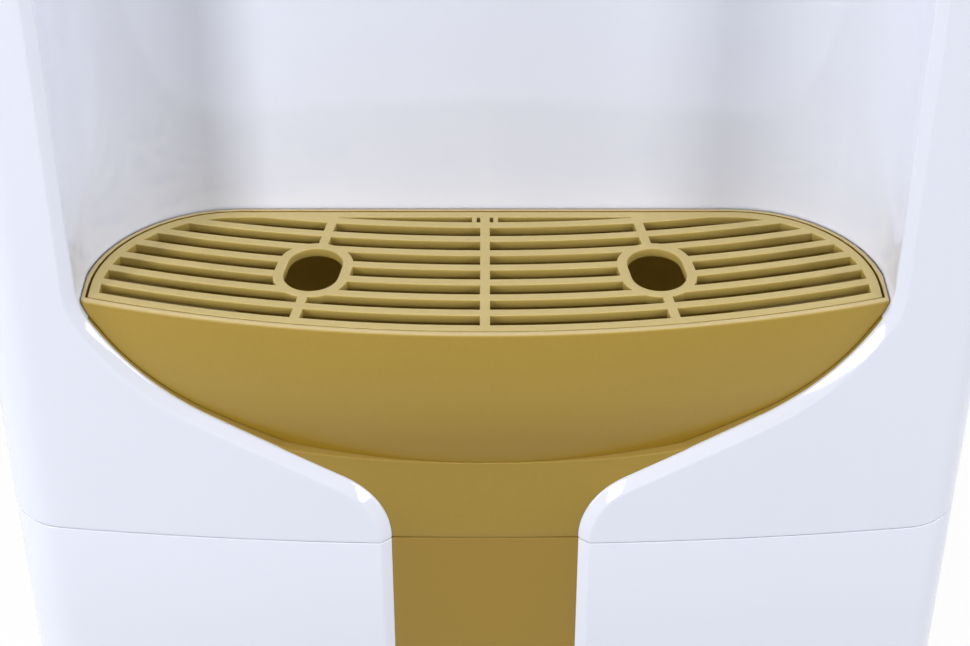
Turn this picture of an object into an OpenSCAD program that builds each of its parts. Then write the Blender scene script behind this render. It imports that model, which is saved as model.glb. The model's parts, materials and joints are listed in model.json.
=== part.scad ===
// Floor-standing water cooler with two taps, a cup alcove and a lift-out drip tray.
// Millimetres, X to the right, front towards -Y, Z up, origin on the floor under the middle.

/* [Cabinet] */
// Overall width
body_w = 312; // [304:1:340]
// Depth of the cabinet, from the middle of its front to the rear edge of its sides
cabinet_d = 300; // [280:1:330]
// Radius of the bowed front
front_r = 1175; // [900:5:1800]
// Radius of the front's upright corners
corner_r = 20; // [12:0.5:24]
// Wall of the moulded shells
shell_t = 2.5; // [2:0.1:3]
// Thickness of the sheet steel
sheet_t = 1.2; // [0.8:0.1:1.6]
// Depth of the side returns of the moulded fronts
return_d = 68; // [60:1:90]
// Width of the folded edges of the steel panels
fold_w = 14; // [10:0.5:18]
// Height of the feet
foot_h = 14; // [8:1:24]
// Radius of a foot
foot_r = 18; // [12:1:24]
// Height of the base pan
base_h = 30; // [24:1:40]
// Height of the hood above the cup alcove
hood_h = 92; // [86:1:120]
// Height of the top cover
top_h = 32; // [26:1:44]
// Height of the open space behind the compressor
rear_open_h = 230; // [224:1:236]
// Gap kept between pieces that lie close together
fit_gap = 0.3; // [0.2:0.05:0.5]

/* [Drip tray] */
// Height of the tray's rim above the floor
rim_z = 600; // [570:1:640]
// Width of the tray's rim
tray_w = 245.2; // [230:0.2:256]
// Depth of the tray from its front to its back
tray_d = 69.6; // [64:0.2:74]
// How far the tray stands proud of the cabinet's front
tray_proud = 7; // [4:0.5:10]
// Radius of the tray's front edge
tray_r = 420; // [360:5:520]
// Radius of the tray's back corners
tray_corner_r = 44; // [36:0.5:52]
// Depth of the bowl below the rim
bowl_h = 60; // [54:0.5:64]
// Radius of the bowl's keel, seen from the front
keel_r = 280; // [240:5:340]
// Lean of the bowl's front
bowl_lean = 13; // [6:0.5:16]
// Wall of the bowl
bowl_t = 2.4; // [2:0.1:3]
// Width of the rim round the grille
rim_lip = 1.9; // [1.5:0.1:2.4]
// Width of the ledge that carries the grille
ledge_w = 2.5; // [2:0.1:3.5]
// Gap between the tray and the alcove
tray_gap = 0.6; // [0.4:0.05:1]

/* [Goblet opening] */
// Radius of the opening's cup, seen from the front
cup_r = 88; // [84:0.5:92]
// Slope of the cup's edge at the rim
cup_a = 24; // [20:0.5:27]
// Slope of the straight between cup and neck
slope_a = 61; // [58:0.5:63]
// Radius of the neck
neck_r = 28; // [22:0.5:32]
// Width of the stem
stem_w = 60.2; // [50:0.2:70]
// Height of the tray's rim above the seam of the front
seam_drop = 88.8; // [86:0.2:96]
// Height of the tray's rim above the floor of its pocket
pocket_drop = 66; // [65:0.5:70]
// How far the gold pieces lie behind the front
gold_set = 3.3; // [3.2:0.1:4.5]
// Thickness of the neck piece
cradle_t = 7; // [5:0.5:9]
// Thickness of the neck piece's two arms
arm_t = 1.1; // [0.8:0.1:1.6]
// Thickness of the centre strip
strip_t = 2.4; // [2:0.1:3]

/* [Grille] */
// Thickness of the grille
grille_t = 3; // [2:0.1:4]
// Width of a slot
slot_w = 4.7; // [4:0.1:5.4]
// Pitch of the slots
slot_pitch = 8; // [7.4:0.1:9]
// Border round the slots
grille_border = 3.2; // [2.4:0.1:4]
// Width of the bars that cross the slots
bar_w = 3.1; // [2:0.1:4]
// Width of a finger hole
finger_w = 17; // [15:0.5:20]
// Length of a finger hole
finger_l = 23; // [21:0.5:27]
// Wall round a finger hole
finger_wall = 3.3; // [2.4:0.1:4]
// Slant of the finger holes
finger_a = 9; // [0:0.5:14]

/* [Alcove and taps] */
// Height of the alcove above the rim
alcove_h = 238; // [220:1:280]
// Distance of each tap from the middle
tap_x = 53; // [46:0.5:58]
// Distance of the outlets in front of the alcove's back wall
tap_reach = 35.6; // [32:0.2:38]
// Height of the tap's barrel below the alcove's ceiling
tap_drop = 37; // [36:0.5:50]
// Radius of the tap's body
tap_r = 11; // [10:0.25:12]
// Radius of the waterway
tap_bore_r = 4.5; // [4:0.1:5]
// Radius of the threaded shank
shank_r = 8; // [7:0.1:9]
// Radius of the valve stem
stem_r = 3.2; // [2.6:0.1:3.4]
// Width of a lever between its ears
lever_w = 15; // [14:0.25:17]
// Thickness of a lever
lever_t = 8.5; // [8:0.25:10]
// Length of a lever in front of its pin
lever_l = 21; // [18:0.5:23]
// Radius of the lever pins
pin_r = 1.5; // [1.2:0.1:2]
// Travel of the child lock
lock_travel = 3.5; // [2:0.25:4]

/* [Bottle seat] */
// Width of the seat's flange
seat_lap = 14; // [10:1:15]
// Radius of the neck that takes the bottle's mouth
collar_r = 31; // [29:0.5:33]
// Height of the seat above the top cover
seat_h = 38; // [24:1:44]
// Depth of the funnel
funnel_d = 52; // [44:1:58]
// Radius of the feed probe
probe_r = 12; // [10:0.5:13]
// Wall of the seat
seat_t = 2.6; // [2.2:0.1:3.2]

/* [Water system] */
// Room in front of the cold tank's insulation, for the taps and their tubes
tank_front_room = 19.3; // [18:0.1:24]
// Room behind the cold tank's insulation
tank_rear_room = 16.6; // [12:0.1:24]
// Height of the cold tank
cold_h = 195; // [180:1:205]
// Wall of both tanks
tank_t = 1; // [0.8:0.1:1.5]
// Thickness of the cold tank's insulation, with the evaporator in it
insulation_t = 23; // [20:0.5:26]
// Floor of the cold tank's insulation
insulation_floor = 32; // [24:1:36]
// Radius of the evaporator's tube
coil_tube_r = 4; // [3:0.1:4.4]
// Pitch of the evaporator's turns
coil_pitch = 11; // [10:0.25:12]
// Radius of the hot tank
hot_r = 45; // [42:0.5:47]
// Height of the hot tank
hot_h = 112; // [100:1:125]
// Distance of the hot tank to the left of the middle
hot_x = 40; // [36:0.5:44]
// Thickness of the hot tank's jacket
jacket_t = 16; // [12:0.5:20]
// Outer radius of the water tubes
tube_r = 5; // [4.6:0.1:5.5]
// Bore radius of the water tubes
tube_bore = 3.4; // [3:0.1:3.8]
// Bend radius of the water tubes
tube_bend = 10; // [9:0.5:11]
// Height of the drains above the floor
drain_z = 254; // [250:0.5:258]

/* [Cooling] */
// Radius of the compressor
pot_r = 60; // [56:0.5:62]
// Height of the compressor
pot_h = 150; // [135:1:160]
// Height of the compressor's grommets
grommet_h = 14; // [10:0.5:18]
// Radius of the refrigerant pipes
pipe_r = 2.4; // [2:0.1:3]
// Rows of the condenser
condenser_rows = 13; // [9:2:13]
// Pitch of the condenser's rows
condenser_pitch = 44; // [40:1:44]
// Distance of the condenser's pipe behind the rear panel
condenser_gap = 30.1; // [26:0.1:40]
// Gap between the condenser's bends and the riser beside them
riser_gap = 3.2; // [2:0.1:6]
// Radius of the condenser's wires
wire_r = 0.8; // [0.6:0.05:1]
// Pitch of the condenser's wires
wire_pitch = 10; // [9:0.5:12]

/* [Hidden] */
$fn = 64;

WHITE = [0.92, 0.93, 0.96];
GOLD = [0.66, 0.56, 0.29];
STEEL = [0.72, 0.73, 0.75];
GREY = [0.45, 0.46, 0.48];
BLACK = [0.12, 0.12, 0.13];
COPPER = [0.72, 0.45, 0.28];
CLEAR = [0.85, 0.87, 0.88];
RED = [0.75, 0.12, 0.10];
BLUE = [0.12, 0.30, 0.70];

// Overshoot of the cutting shapes
over = 1;
// Sides of a cut that has to reach past everything
far = 500;
// Facets of the large, shallow arcs
arc_fn = 720;

// Heights
base_top = foot_h + base_h;
seam_z = rim_z - seam_drop;
pocket_z = rim_z - pocket_drop;
ceiling_z = rim_z + alcove_h;
cover_top = ceiling_z + hood_h;
top_z = cover_top + top_h;

// Depths, from the drip tray's front to the condenser's back
screw_gap = 0.1;
condenser_back = condenser_gap + pipe_r + 2 * wire_r + screw_gap;
overall_d = tray_proud + cabinet_d - sheet_t + condenser_back;
front_y = -overall_d / 2 + tray_proud;
rear_y = front_y + cabinet_d;
return_y = front_y + return_d;
rear_panel_y = rear_y - sheet_t;
condenser_y = rear_panel_y + condenser_gap;

// Plan of the bowed front with its round corners
bow_cy = front_y + front_r;
corner_cx = body_w / 2 - corner_r;
corner_cy = bow_cy - sqrt(pow(front_r - corner_r, 2) - pow(corner_cx, 2));

module plan(inset, back_y) {
  bow_r = front_r - inset;
  side_x = body_w / 2 - inset;
  meet_x = corner_cx * bow_r / (front_r - corner_r);
  intersection() {
    translate([0, bow_cy]) circle(bow_r, $fn = arc_fn);
    translate([-meet_x, front_y - tray_proud]) square([2 * meet_x, back_y - front_y + tray_proud]);
  }
  for (s = [-1, 1]) translate([s * corner_cx, corner_cy]) circle(corner_r - inset);
  translate([-side_x, corner_cy]) square([2 * side_x, back_y - corner_cy]);
}

// Draws an outline given in X and Z as a bar from y0 to y1
module along_y(y0, y1) {
  translate([0, y1, 0]) rotate([90, 0, 0]) linear_extrude(y1 - y0) children();
}

// Pipes: straight runs joined by quarter bends
function unit(v) = v / norm(v);

module ring(r, bore) {
  difference() {
    circle(r);
    if (bore > 0) circle(bore);
  }
}

module pipe_straight(p, q, r, bore) {
  v = q - p;
  translate(p) rotate([0, acos(v[2] / norm(v)), atan2(v[1], v[0])]) linear_extrude(norm(v)) ring(r, bore);
}

module pipe_bend(start, d1, d2, bend, r, bore) {
  x = -d2;
  y = d1;
  z = cross(x, y);
  c = start + bend * d2;
  multmatrix([
    [x[0], y[0], z[0], c[0]],
    [x[1], y[1], z[1], c[1]],
    [x[2], y[2], z[2], c[2]],
    [0, 0, 0, 1]
  ]) rotate_extrude(angle = 90) translate([bend, 0]) ring(r, bore);
}

module pipe(route, bend, r, bore = 0) {
  last = len(route) - 1;
  dirs = [for (i = [0:last - 1]) unit(route[i + 1] - route[i])];
  for (i = [0:last - 1]) {
    pipe_straight(
      route[i] + (i == 0 ? 0 : bend) * dirs[i],
      route[i + 1] - (i == last - 1 ? 0 : bend) * dirs[i],
      r, bore
    );
  }
  if (last > 1) {
    for (i = [1:last - 1]) pipe_bend(route[i] - bend * dirs[i - 1], dirs[i - 1], dirs[i], bend, r, bore);
  }
}

// Goblet outline in X and Z below the rim, inset towards the middle
cup_c = [tray_w / 2 - cup_r * cos(cup_a), cup_r * sin(cup_a)];
cup_end = cup_c + cup_r * [cos(slope_a), -sin(slope_a)];
neck_cx = stem_w / 2 + neck_r;
slope_l = (cup_end[0] - neck_cx + neck_r * cos(slope_a)) / sin(slope_a);
neck_c = [neck_cx, cup_end[1] - slope_l * cos(slope_a) - neck_r * sin(slope_a)];
cup_steps = 16;
neck_steps = 12;

function goblet_side(inset) = concat(
  [for (i = [0:cup_steps])
    let (a0 = asin(cup_c[1] / (cup_r - inset)), a = a0 + (slope_a - a0) * i / cup_steps)
    cup_c + (cup_r - inset) * [cos(a), -sin(a)]],
  [for (i = [0:neck_steps])
    let (a = slope_a * (1 - i / neck_steps))
    neck_c + (neck_r + inset) * [-cos(a), sin(a)]]
);

function flip_x(points) = [for (i = [len(points) - 1:-1:0]) [-points[i][0], points[i][1]]];

module goblet(inset, bottom) {
  side = concat(goblet_side(inset), [[stem_w / 2 - inset, bottom]]);
  translate([0, rim_z]) polygon(concat(side, flip_x(side)));
}

// Bowl of the tray in X and Z, inset from its outer face
bowl_inset = fit_gap + arm_t + fit_gap;

module bowl(inset) {
  intersection() {
    goblet(bowl_inset + inset, -seam_drop);
    translate([0, rim_z - bowl_h + keel_r]) circle(keel_r - inset, $fn = arc_fn);
  }
}

// Plan of the tray and of the alcove behind the front
tray_front_y = front_y - tray_proud;
tray_back_y = tray_front_y + tray_d;

module round_back(half_w, back_y, corner, start_y) {
  translate([-half_w, start_y]) square([2 * half_w, back_y - corner - start_y]);
  translate([-half_w + corner, start_y]) square([2 * (half_w - corner), back_y - start_y]);
  for (s = [-1, 1]) translate([s * (half_w - corner), back_y - corner]) circle(corner);
}

module tray_plan(inset) {
  intersection() {
    translate([0, tray_front_y + tray_r]) circle(tray_r - inset, $fn = arc_fn);
    round_back(tray_w / 2 - inset, tray_back_y - inset, tray_corner_r - inset, tray_front_y - over);
  }
}

alcove_back_y = tray_back_y + tray_gap;
alcove_outer_y = alcove_back_y + shell_t;

module alcove_plan(outset) {
  round_back(
    tray_w / 2 + tray_gap + outset, alcove_back_y + outset,
    tray_corner_r + tray_gap + outset, tray_front_y
  );
}

// Tank and bottle seat, set between the alcove and the rear panel
tank_front_y = alcove_outer_y + tank_front_room;
tank_rear_y = rear_panel_y - sheet_t - tank_rear_room;
tank_y = (tank_front_y + tank_rear_y) / 2;
insulation_r = (tank_rear_y - tank_front_y) / 2;
cold_r = insulation_r - insulation_t;
funnel_in = 2;
funnel_r = insulation_r - funnel_in;
seat_flange_r = funnel_r + seat_lap;

// Base
floor_t = 3;
foot_in = 40;
foot_front_in = 48;
foot_x = body_w / 2 - foot_in;
foot_front_y = front_y + foot_front_in;
foot_rear_y = rear_y - foot_in;
foot_lip = 2;

module base_pan() {
  color(GREY) difference() {
    translate([0, 0, foot_h]) linear_extrude(base_h) plan(0, rear_y);
    translate([0, 0, foot_h + floor_t]) linear_extrude(base_h) plan(shell_t, rear_y - shell_t);
  }
}

module feet() {
  color(BLACK) for (x = [-foot_x, foot_x], y = [foot_front_y, foot_rear_y]) translate([x, y, 0])
    rotate_extrude() polygon([
      [0, 0], [foot_r - foot_lip, 0], [foot_r, foot_lip], [foot_r - foot_lip, foot_h], [0, foot_h]
    ]);
}

// Steel sides with folded edges and air slots
vent_n = 9;
vent_w = 3.5;
vent_h = 70;
vent_pitch = 9;
vent_up = 60;
vent_in = 110;
vent_z = base_top + vent_up;
vent_y = rear_y - vent_in;
panel_h = cover_top - base_top;
screw_r = 1.6;
screw_head_r = 3.6;
screw_head_h = 2;
screw_l = 8;
screw_n = 4;
screw_end = 30;
screw_span = cover_top - rear_open_h - 2 * screw_end;
screw_x = body_w / 2 - sheet_t - fold_w / 2;
screw_zs = [for (i = [0:screw_n - 1]) rear_open_h + screw_end + screw_span * i / (screw_n - 1)];

module side_panel() {
  outer_x = body_w / 2;
  difference() {
    union() {
      translate([outer_x - sheet_t, return_y, base_top]) cube([sheet_t, rear_y - return_y, panel_h]);
      for (y = [return_y, rear_y - sheet_t])
        translate([outer_x - fold_w, y, base_top]) cube([fold_w, sheet_t, panel_h]);
    }
    for (i = [0:vent_n - 1])
      translate([outer_x - sheet_t - over, vent_y + i * vent_pitch, vent_z])
        cube([sheet_t + 2 * over, vent_w, vent_h]);
    screw_holes();
  }
}

module screw_holes() {
  for (s = [-1, 1], z = screw_zs) translate([s * screw_x, 0, z])
    along_y(rear_y - screw_l - over, rear_y + over)
    circle(screw_r + screw_gap);
}

module cabinet_screws() {
  color(STEEL) for (s = [-1, 1], z = screw_zs) translate([s * screw_x, 0, z]) {
    along_y(rear_y - screw_l, rear_y) circle(screw_r);
    along_y(rear_y, rear_y + screw_head_h) circle(screw_head_r);
  }
}

module left_side_panel() {
  color(WHITE) mirror([1, 0, 0]) side_panel();
}

module right_side_panel() {
  color(WHITE) side_panel();
}

// Rear panel, held inside the folded edges of the sides
rear_panel_half = body_w / 2 - sheet_t;
cold_drain_in = 35;
cold_drain_out = cold_r - cold_drain_in;
hot_drain_side = 20;
hot_drain_back = 28;
cold_drain = [cold_drain_out, tank_y + cold_drain_out];
hot_drain = [-hot_x - hot_drain_side, tank_y + hot_drain_back];
drain_xs = [hot_drain[0], cold_drain[0]];
switch_x = 40;
switch_down = 44;
switch_xs = [-switch_x, switch_x];
switch_z = cover_top - switch_down;
switch_w = 15;
switch_h = 24;
switch_wall = 1.5;
switch_cut = 2 * switch_wall + fit_gap;
inlet_in = 58;
inlet_x = body_w / 2 - inlet_in;
inlet_up = 8;
inlet_z = drain_z + inlet_up;
inlet_w = 30;
inlet_h = 22;
spout_r = 6.5;
cut_t = 2 * sheet_t;

module rear_panel() {
  color(STEEL) difference() {
    translate([-rear_panel_half, rear_panel_y - sheet_t, rear_open_h])
      cube([2 * rear_panel_half, sheet_t, cover_top - rear_open_h]);
    screw_holes();
    for (x = drain_xs) translate([x, 0, drain_z]) along_y(rear_panel_y - over - sheet_t, rear_panel_y + over)
      circle(spout_r + fit_gap);
    for (x = switch_xs) translate([x, rear_panel_y, switch_z])
      cube([switch_w + switch_cut, 2 * cut_t, switch_h + switch_cut], center = true);
    translate([inlet_x, rear_panel_y, inlet_z])
      cube([inlet_w + fit_gap, 2 * cut_t, inlet_h + fit_gap], center = true);
  }
}

// Shelves inside the cabinet, with holes for the pipes
lid_room = 45;
cold_top = cover_top - lid_room;
cold_bottom = cold_top - cold_h;
tank_shelf_z = cold_bottom - insulation_floor - sheet_t;
hot_clear = 52;
hot_top = tank_shelf_z - hot_clear;
hot_bottom = hot_top - hot_h;
middle_shelf_z = hot_bottom - jacket_t - sheet_t;
riser_back = 27;
riser_y = alcove_outer_y + riser_back;
line_in = 28;
line_x = body_w / 2 - line_in;
hot_outlet_front = 10;
hot_outlet_y = tank_y - hot_outlet_front;
feed_x = -25;
hole_gap = 1.5;

module shelf(z, from_y) {
  translate([-rear_panel_half, from_y, z])
    cube([2 * rear_panel_half, rear_panel_y - sheet_t - from_y, sheet_t]);
  for (s = [-1, 1]) translate([s * (rear_panel_half - sheet_t / 2), 0, z - fold_w / 2])
    translate([-sheet_t / 2, from_y, -fold_w / 2])
      cube([sheet_t, rear_panel_y - sheet_t - from_y, fold_w]);
}

module pipe_holes(z, spots, r) {
  for (p = spots) translate([p[0], p[1], z - over]) cylinder(r = r + hole_gap, h = sheet_t + 2 * over);
}

module middle_shelf() {
  color(STEEL) difference() {
    shelf(middle_shelf_z, return_y + sheet_t);
    pipe_holes(middle_shelf_z, [cold_drain, hot_drain], tube_r);
    pipe_holes(middle_shelf_z, [[line_x, tank_y], [-line_x, tank_y]], pipe_r);
  }
}

module tank_shelf() {
  color(STEEL) difference() {
    shelf(tank_shelf_z, max(alcove_outer_y, return_y) + sheet_t);
    pipe_holes(
      tank_shelf_z,
      [cold_drain, [feed_x, tank_y], [tap_x, tank_y], [-tap_x, riser_y], [tap_x, riser_y]],
      tube_r
    );
    pipe_holes(tank_shelf_z, [[line_x, tank_y], [-line_x, tank_y]], pipe_r);
  }
}

// Upper front shell with the alcove, the tray's pocket and the goblet opening
tap_y = alcove_back_y - tap_reach;
tap_z = ceiling_z - tap_drop;
cradle_back = gold_set + cradle_t;
lens_n = 3;
lens_r = 3;
lens_pitch = 26;
fascia_w = 112;
fascia_h = 30;
fascia_t = 1.6;
fascia_z = ceiling_z + hood_h / 2;
lens_xs = [for (i = [0:lens_n - 1]) (i - (lens_n - 1) / 2) * lens_pitch];

module lens_bores(gap) {
  for (x = lens_xs) translate([x, 0, fascia_z]) along_y(front_y - fascia_t - over, front_y + shell_t + over)
    circle(lens_r + gap);
}

module front_cover() {
  color(WHITE) difference() {
    union() {
      translate([0, 0, seam_z]) linear_extrude(cover_top - seam_z) difference() {
        plan(0, return_y);
        plan(shell_t, return_y + over);
      }
      intersection() {
        translate([0, 0, pocket_z - shell_t]) linear_extrude(ceiling_z - pocket_z + 2 * shell_t)
          alcove_plan(shell_t);
        translate([0, 0, seam_z]) linear_extrude(cover_top - seam_z) plan(shell_t / 2, rear_y);
      }
    }
    translate([0, 0, rim_z]) linear_extrude(alcove_h) alcove_plan(0);
    translate([0, 0, pocket_z]) linear_extrude(pocket_drop + over) intersection() {
      alcove_plan(0);
      plan(shell_t, rear_y);
    }
    along_y(front_y - over, front_y + cradle_back + shell_t) goblet(0, -seam_drop - over);
    for (s = [-1, 1]) translate([s * tap_x, 0, tap_z]) along_y(alcove_back_y - over, alcove_outer_y + over)
      circle(shank_r + screw_gap);
    lens_bores(fit_gap);
  }
}

// Lower front panel, with a channel behind its slot that holds the strip
strip_lap = 8;
channel_half = stem_w / 2 + strip_lap;
channel_d = gold_set + strip_t + shell_t;

module lower_front_panel() {
  color(WHITE) translate([0, 0, base_top]) linear_extrude(seam_z - base_top) {
    difference() {
      plan(0, return_y);
      plan(shell_t, return_y + over);
      translate([-stem_w / 2, front_y - over]) square([stem_w, channel_d]);
    }
    difference() {
      translate([-channel_half - shell_t, front_y + shell_t / 2 + over])
        square([2 * channel_half + 2 * shell_t, channel_d - shell_t / 2 - over]);
      translate([-channel_half, front_y - over]) square([2 * channel_half, channel_d - shell_t + over]);
    }
  }
}

module centre_strip() {
  color(GOLD) translate([-channel_half + fit_gap, front_y + gold_set, base_top])
    cube([2 * channel_half - 2 * fit_gap, strip_t, seam_z - base_top]);
}

// Neck piece below the bowl, with thin arms that line the opening
module tray_cradle() {
  color(GOLD) intersection() {
    along_y(front_y - over, front_y + cradle_back + corner_r) difference() {
      goblet(fit_gap, -seam_drop);
      bowl(-fit_gap);
    }
    translate([0, 0, seam_z]) linear_extrude(seam_drop - tray_rim_h - fit_gap) difference() {
      plan(gold_set, return_y);
      plan(cradle_back, return_y + over);
    }
  }
}

// Bowl: the goblet's profile, the plan of the rim and a leaning front, all three at once
ledge_t = 1.4;
tray_rim_h = grille_t + ledge_t;
tray_foot_w = 16;
tray_foot_x = 22;
tray_foot_l = 20;
lean_r = tray_r / cos(bowl_lean);

module bowl_solid(inset) {
  intersection() {
    along_y(tray_front_y - over, tray_back_y + over) bowl(inset);
    translate([0, 0, rim_z - bowl_h - over]) linear_extrude(bowl_h + over) tray_plan(inset);
    translate([0, tray_front_y, rim_z]) rotate([bowl_lean, 0, 0]) translate([0, lean_r, -far / 2])
      cylinder(r = lean_r - inset, h = far, $fn = arc_fn);
  }
}

module drip_tray() {
  color(GOLD) difference() {
    union() {
      bowl_solid(0);
      translate([0, 0, rim_z - tray_rim_h]) linear_extrude(tray_rim_h) tray_plan(0);
      for (s = [-1, 1])
        translate([s * tray_foot_x - tray_foot_w / 2, tray_back_y - tray_d / 2, pocket_z])
          cube([tray_foot_w, tray_foot_l, pocket_drop - bowl_h + bowl_t]);
    }
    intersection() {
      bowl_solid(bowl_t);
      translate([0, 0, rim_z - bowl_h]) linear_extrude(bowl_h) tray_plan(rim_lip + ledge_w);
    }
    translate([0, 0, rim_z - grille_t]) linear_extrude(grille_t + over) tray_plan(rim_lip);
  }
}

// Grille: arced slots, a middle bar, two slanted bars and two ringed finger holes
grille_inset = rim_lip + fit_gap;
slot_front_y = tray_front_y + grille_inset + grille_border;
slot_n = floor((tray_d - 2 * grille_inset - 2 * grille_border + slot_pitch - slot_w) / slot_pitch) + 1;
finger_y = tap_y;
finger_x = tap_x;
stub_w = 1.6;
stub_x = 3.4;
stub_l = 6;

module finger_hole(outset) {
  half = finger_l / 2 - finger_w / 2;
  for (s = [-1, 1]) translate([0, s * half]) circle(finger_w / 2 + outset);
  square([finger_w + 2 * outset, 2 * half], center = true);
}

module at_fingers() {
  for (s = [-1, 1]) translate([s * finger_x, finger_y]) rotate(s * finger_a) children();
}

module slots() {
  for (i = [0:slot_n - 1]) difference() {
    translate([0, slot_front_y + i * slot_pitch + tray_r]) circle(tray_r, $fn = arc_fn);
    translate([0, slot_front_y + i * slot_pitch + slot_w + tray_r]) circle(tray_r, $fn = arc_fn);
  }
}

module drip_grille() {
  color(GOLD) translate([0, 0, rim_z - grille_t]) linear_extrude(grille_t) difference() {
    tray_plan(grille_inset);
    difference() {
      intersection() {
        slots();
        tray_plan(grille_inset + grille_border);
      }
      translate([-bar_w / 2, tray_front_y]) square([bar_w, tray_d]);
      at_fingers() square([bar_w, 2 * tray_d], center = true);
      at_fingers() finger_hole(finger_wall);
      for (s = [-1, 1]) translate([s * stub_x - stub_w / 2, tray_back_y - grille_inset - stub_l])
        square([stub_w, stub_l]);
    }
    at_fingers() finger_hole(0);
  }
}

// Top cover with a stepped edge and the bottle seat's hole
top_step = 4;

module top_cover() {
  color(WHITE) difference() {
    union() {
      translate([0, 0, cover_top]) linear_extrude(top_h - top_step) plan(0, rear_y);
      translate([0, 0, cover_top]) linear_extrude(top_h) plan(top_step, rear_y - top_step);
    }
    translate([0, 0, cover_top - over]) linear_extrude(top_h - top_step - shell_t + over)
      plan(shell_t, rear_y - shell_t);
    translate([0, tank_y, cover_top]) cylinder(r = funnel_r + seat_t + fit_gap, h = top_h + over);
  }
}

// Bottle seat: flange, raised ring, funnel and collar in one turned profile
seat_top = top_z + seat_h;
collar_top = top_z + seat_h / 2 - funnel_d;
collar_dip = 12;
collar_bottom = cold_top - collar_dip;
seat_flange_t = 3;

module bottle_seat() {
  color(WHITE) translate([0, tank_y, 0]) rotate_extrude() polygon([
    [collar_r, collar_bottom],
    [collar_r, collar_top],
    [funnel_r - seat_t, top_z + seat_h / 2],
    [funnel_r - seat_t, seat_top],
    [funnel_r + seat_t, seat_top],
    [funnel_r + seat_t, top_z + seat_flange_t],
    [seat_flange_r, top_z + seat_flange_t],
    [seat_flange_r, top_z],
    [funnel_r, top_z],
    [funnel_r, top_z + seat_h / 2 - 2 * seat_t],
    [collar_r + seat_t, collar_top - seat_t],
    [collar_r + seat_t, collar_bottom]
  ]);
}

// Probe that opens the bottle: a hollow tip on a three-armed spider in the collar
probe_down = 8;
probe_top = top_z - probe_down;
probe_t = 2;
spider_h = 8;
spider_t = 4;
probe_hole_r = 3;

module feed_probe() {
  color(CLEAR) translate([0, tank_y, 0]) {
    difference() {
      union() {
        translate([0, 0, collar_bottom]) cylinder(r = probe_r, h = probe_top - probe_r - collar_bottom);
        translate([0, 0, probe_top - probe_r]) sphere(probe_r);
        translate([0, 0, collar_bottom]) linear_extrude(spider_h) difference() {
          circle(collar_r - screw_gap);
          circle(collar_r - screw_gap - probe_t);
        }
        for (a = [0:120:240]) rotate(a) translate([probe_r - probe_t, -spider_t / 2, collar_bottom])
          cube([collar_r - probe_r, spider_t, spider_h]);
      }
      translate([0, 0, collar_bottom - over])
        cylinder(r = probe_r - probe_t, h = probe_top - probe_r - collar_bottom);
      for (a = [0:90:270]) rotate(a) translate([0, 0, probe_top - 2 * probe_r]) rotate([0, 90, 0])
        cylinder(r = probe_hole_r, h = 2 * probe_r);
    }
  }
}

// Indicator fascia on the hood, its lenses and the board behind
board_w = 80;
board_h = 22;
board_t = 1.6;
lens_in = 9;
lens_back_y = front_y + shell_t + lens_in;

module indicator_fascia() {
  color(GOLD) difference() {
    intersection() {
      along_y(front_y - fascia_t - over, front_y + shell_t) translate([0, fascia_z]) {
        square([fascia_w - fascia_h, fascia_h], center = true);
        for (s = [-1, 1]) translate([s * (fascia_w - fascia_h) / 2, 0]) circle(fascia_h / 2);
      }
      translate([0, 0, ceiling_z]) linear_extrude(hood_h) difference() {
        plan(-fascia_t, return_y);
        plan(-screw_gap, return_y + over);
      }
    }
    lens_bores(fit_gap);
  }
}

module indicator_lenses() {
  color(CLEAR) for (x = lens_xs) translate([x, 0, fascia_z]) along_y(front_y - fascia_t, lens_back_y)
    circle(lens_r);
}

module indicator_board() {
  color([0.10, 0.35, 0.20]) translate([-board_w / 2, lens_back_y, fascia_z - board_h / 2])
    cube([board_w, board_t, board_h]);
}

// Taps: body, stem with its valve disc, lever between two ears, pin, gasket and nut
spout_h = 11;
spout_tip_r = 7.5;
tap_low = 20;
tap_high = 17;
barrel_r = 9;
tap_flange_r = 15;
tap_flange_t = 4;
gasket_t = 1.5;
nut_t = 7;
nut_r = 13;
seat_low = 14;
seat_r = 3.6;
valve_gap = 0.15;
valve_r = tap_bore_r - valve_gap;
valve_t = 5;
stem_gap = 0.08;
ear_t = 3;
ear_gap = 0.4;
ear_l = 9;
pin_front = 9;
pin_up = 8;
pin_y = tap_y - pin_front;
pin_z = tap_z + tap_high + pin_up;
lever_under = 3.2;
lever_back = 17;
paddle_w = 20;
paddle_start = 8;
stem_head_r = 4.2;
stem_head_t = 3;
stem_room = 2;
shank_past = 15;
shank_end_y = alcove_outer_y + shank_past;
lock_w = 7;
lock_l = 6;
lock_h = 5;
lock_depth = 3;
lock_end = 3;

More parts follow.
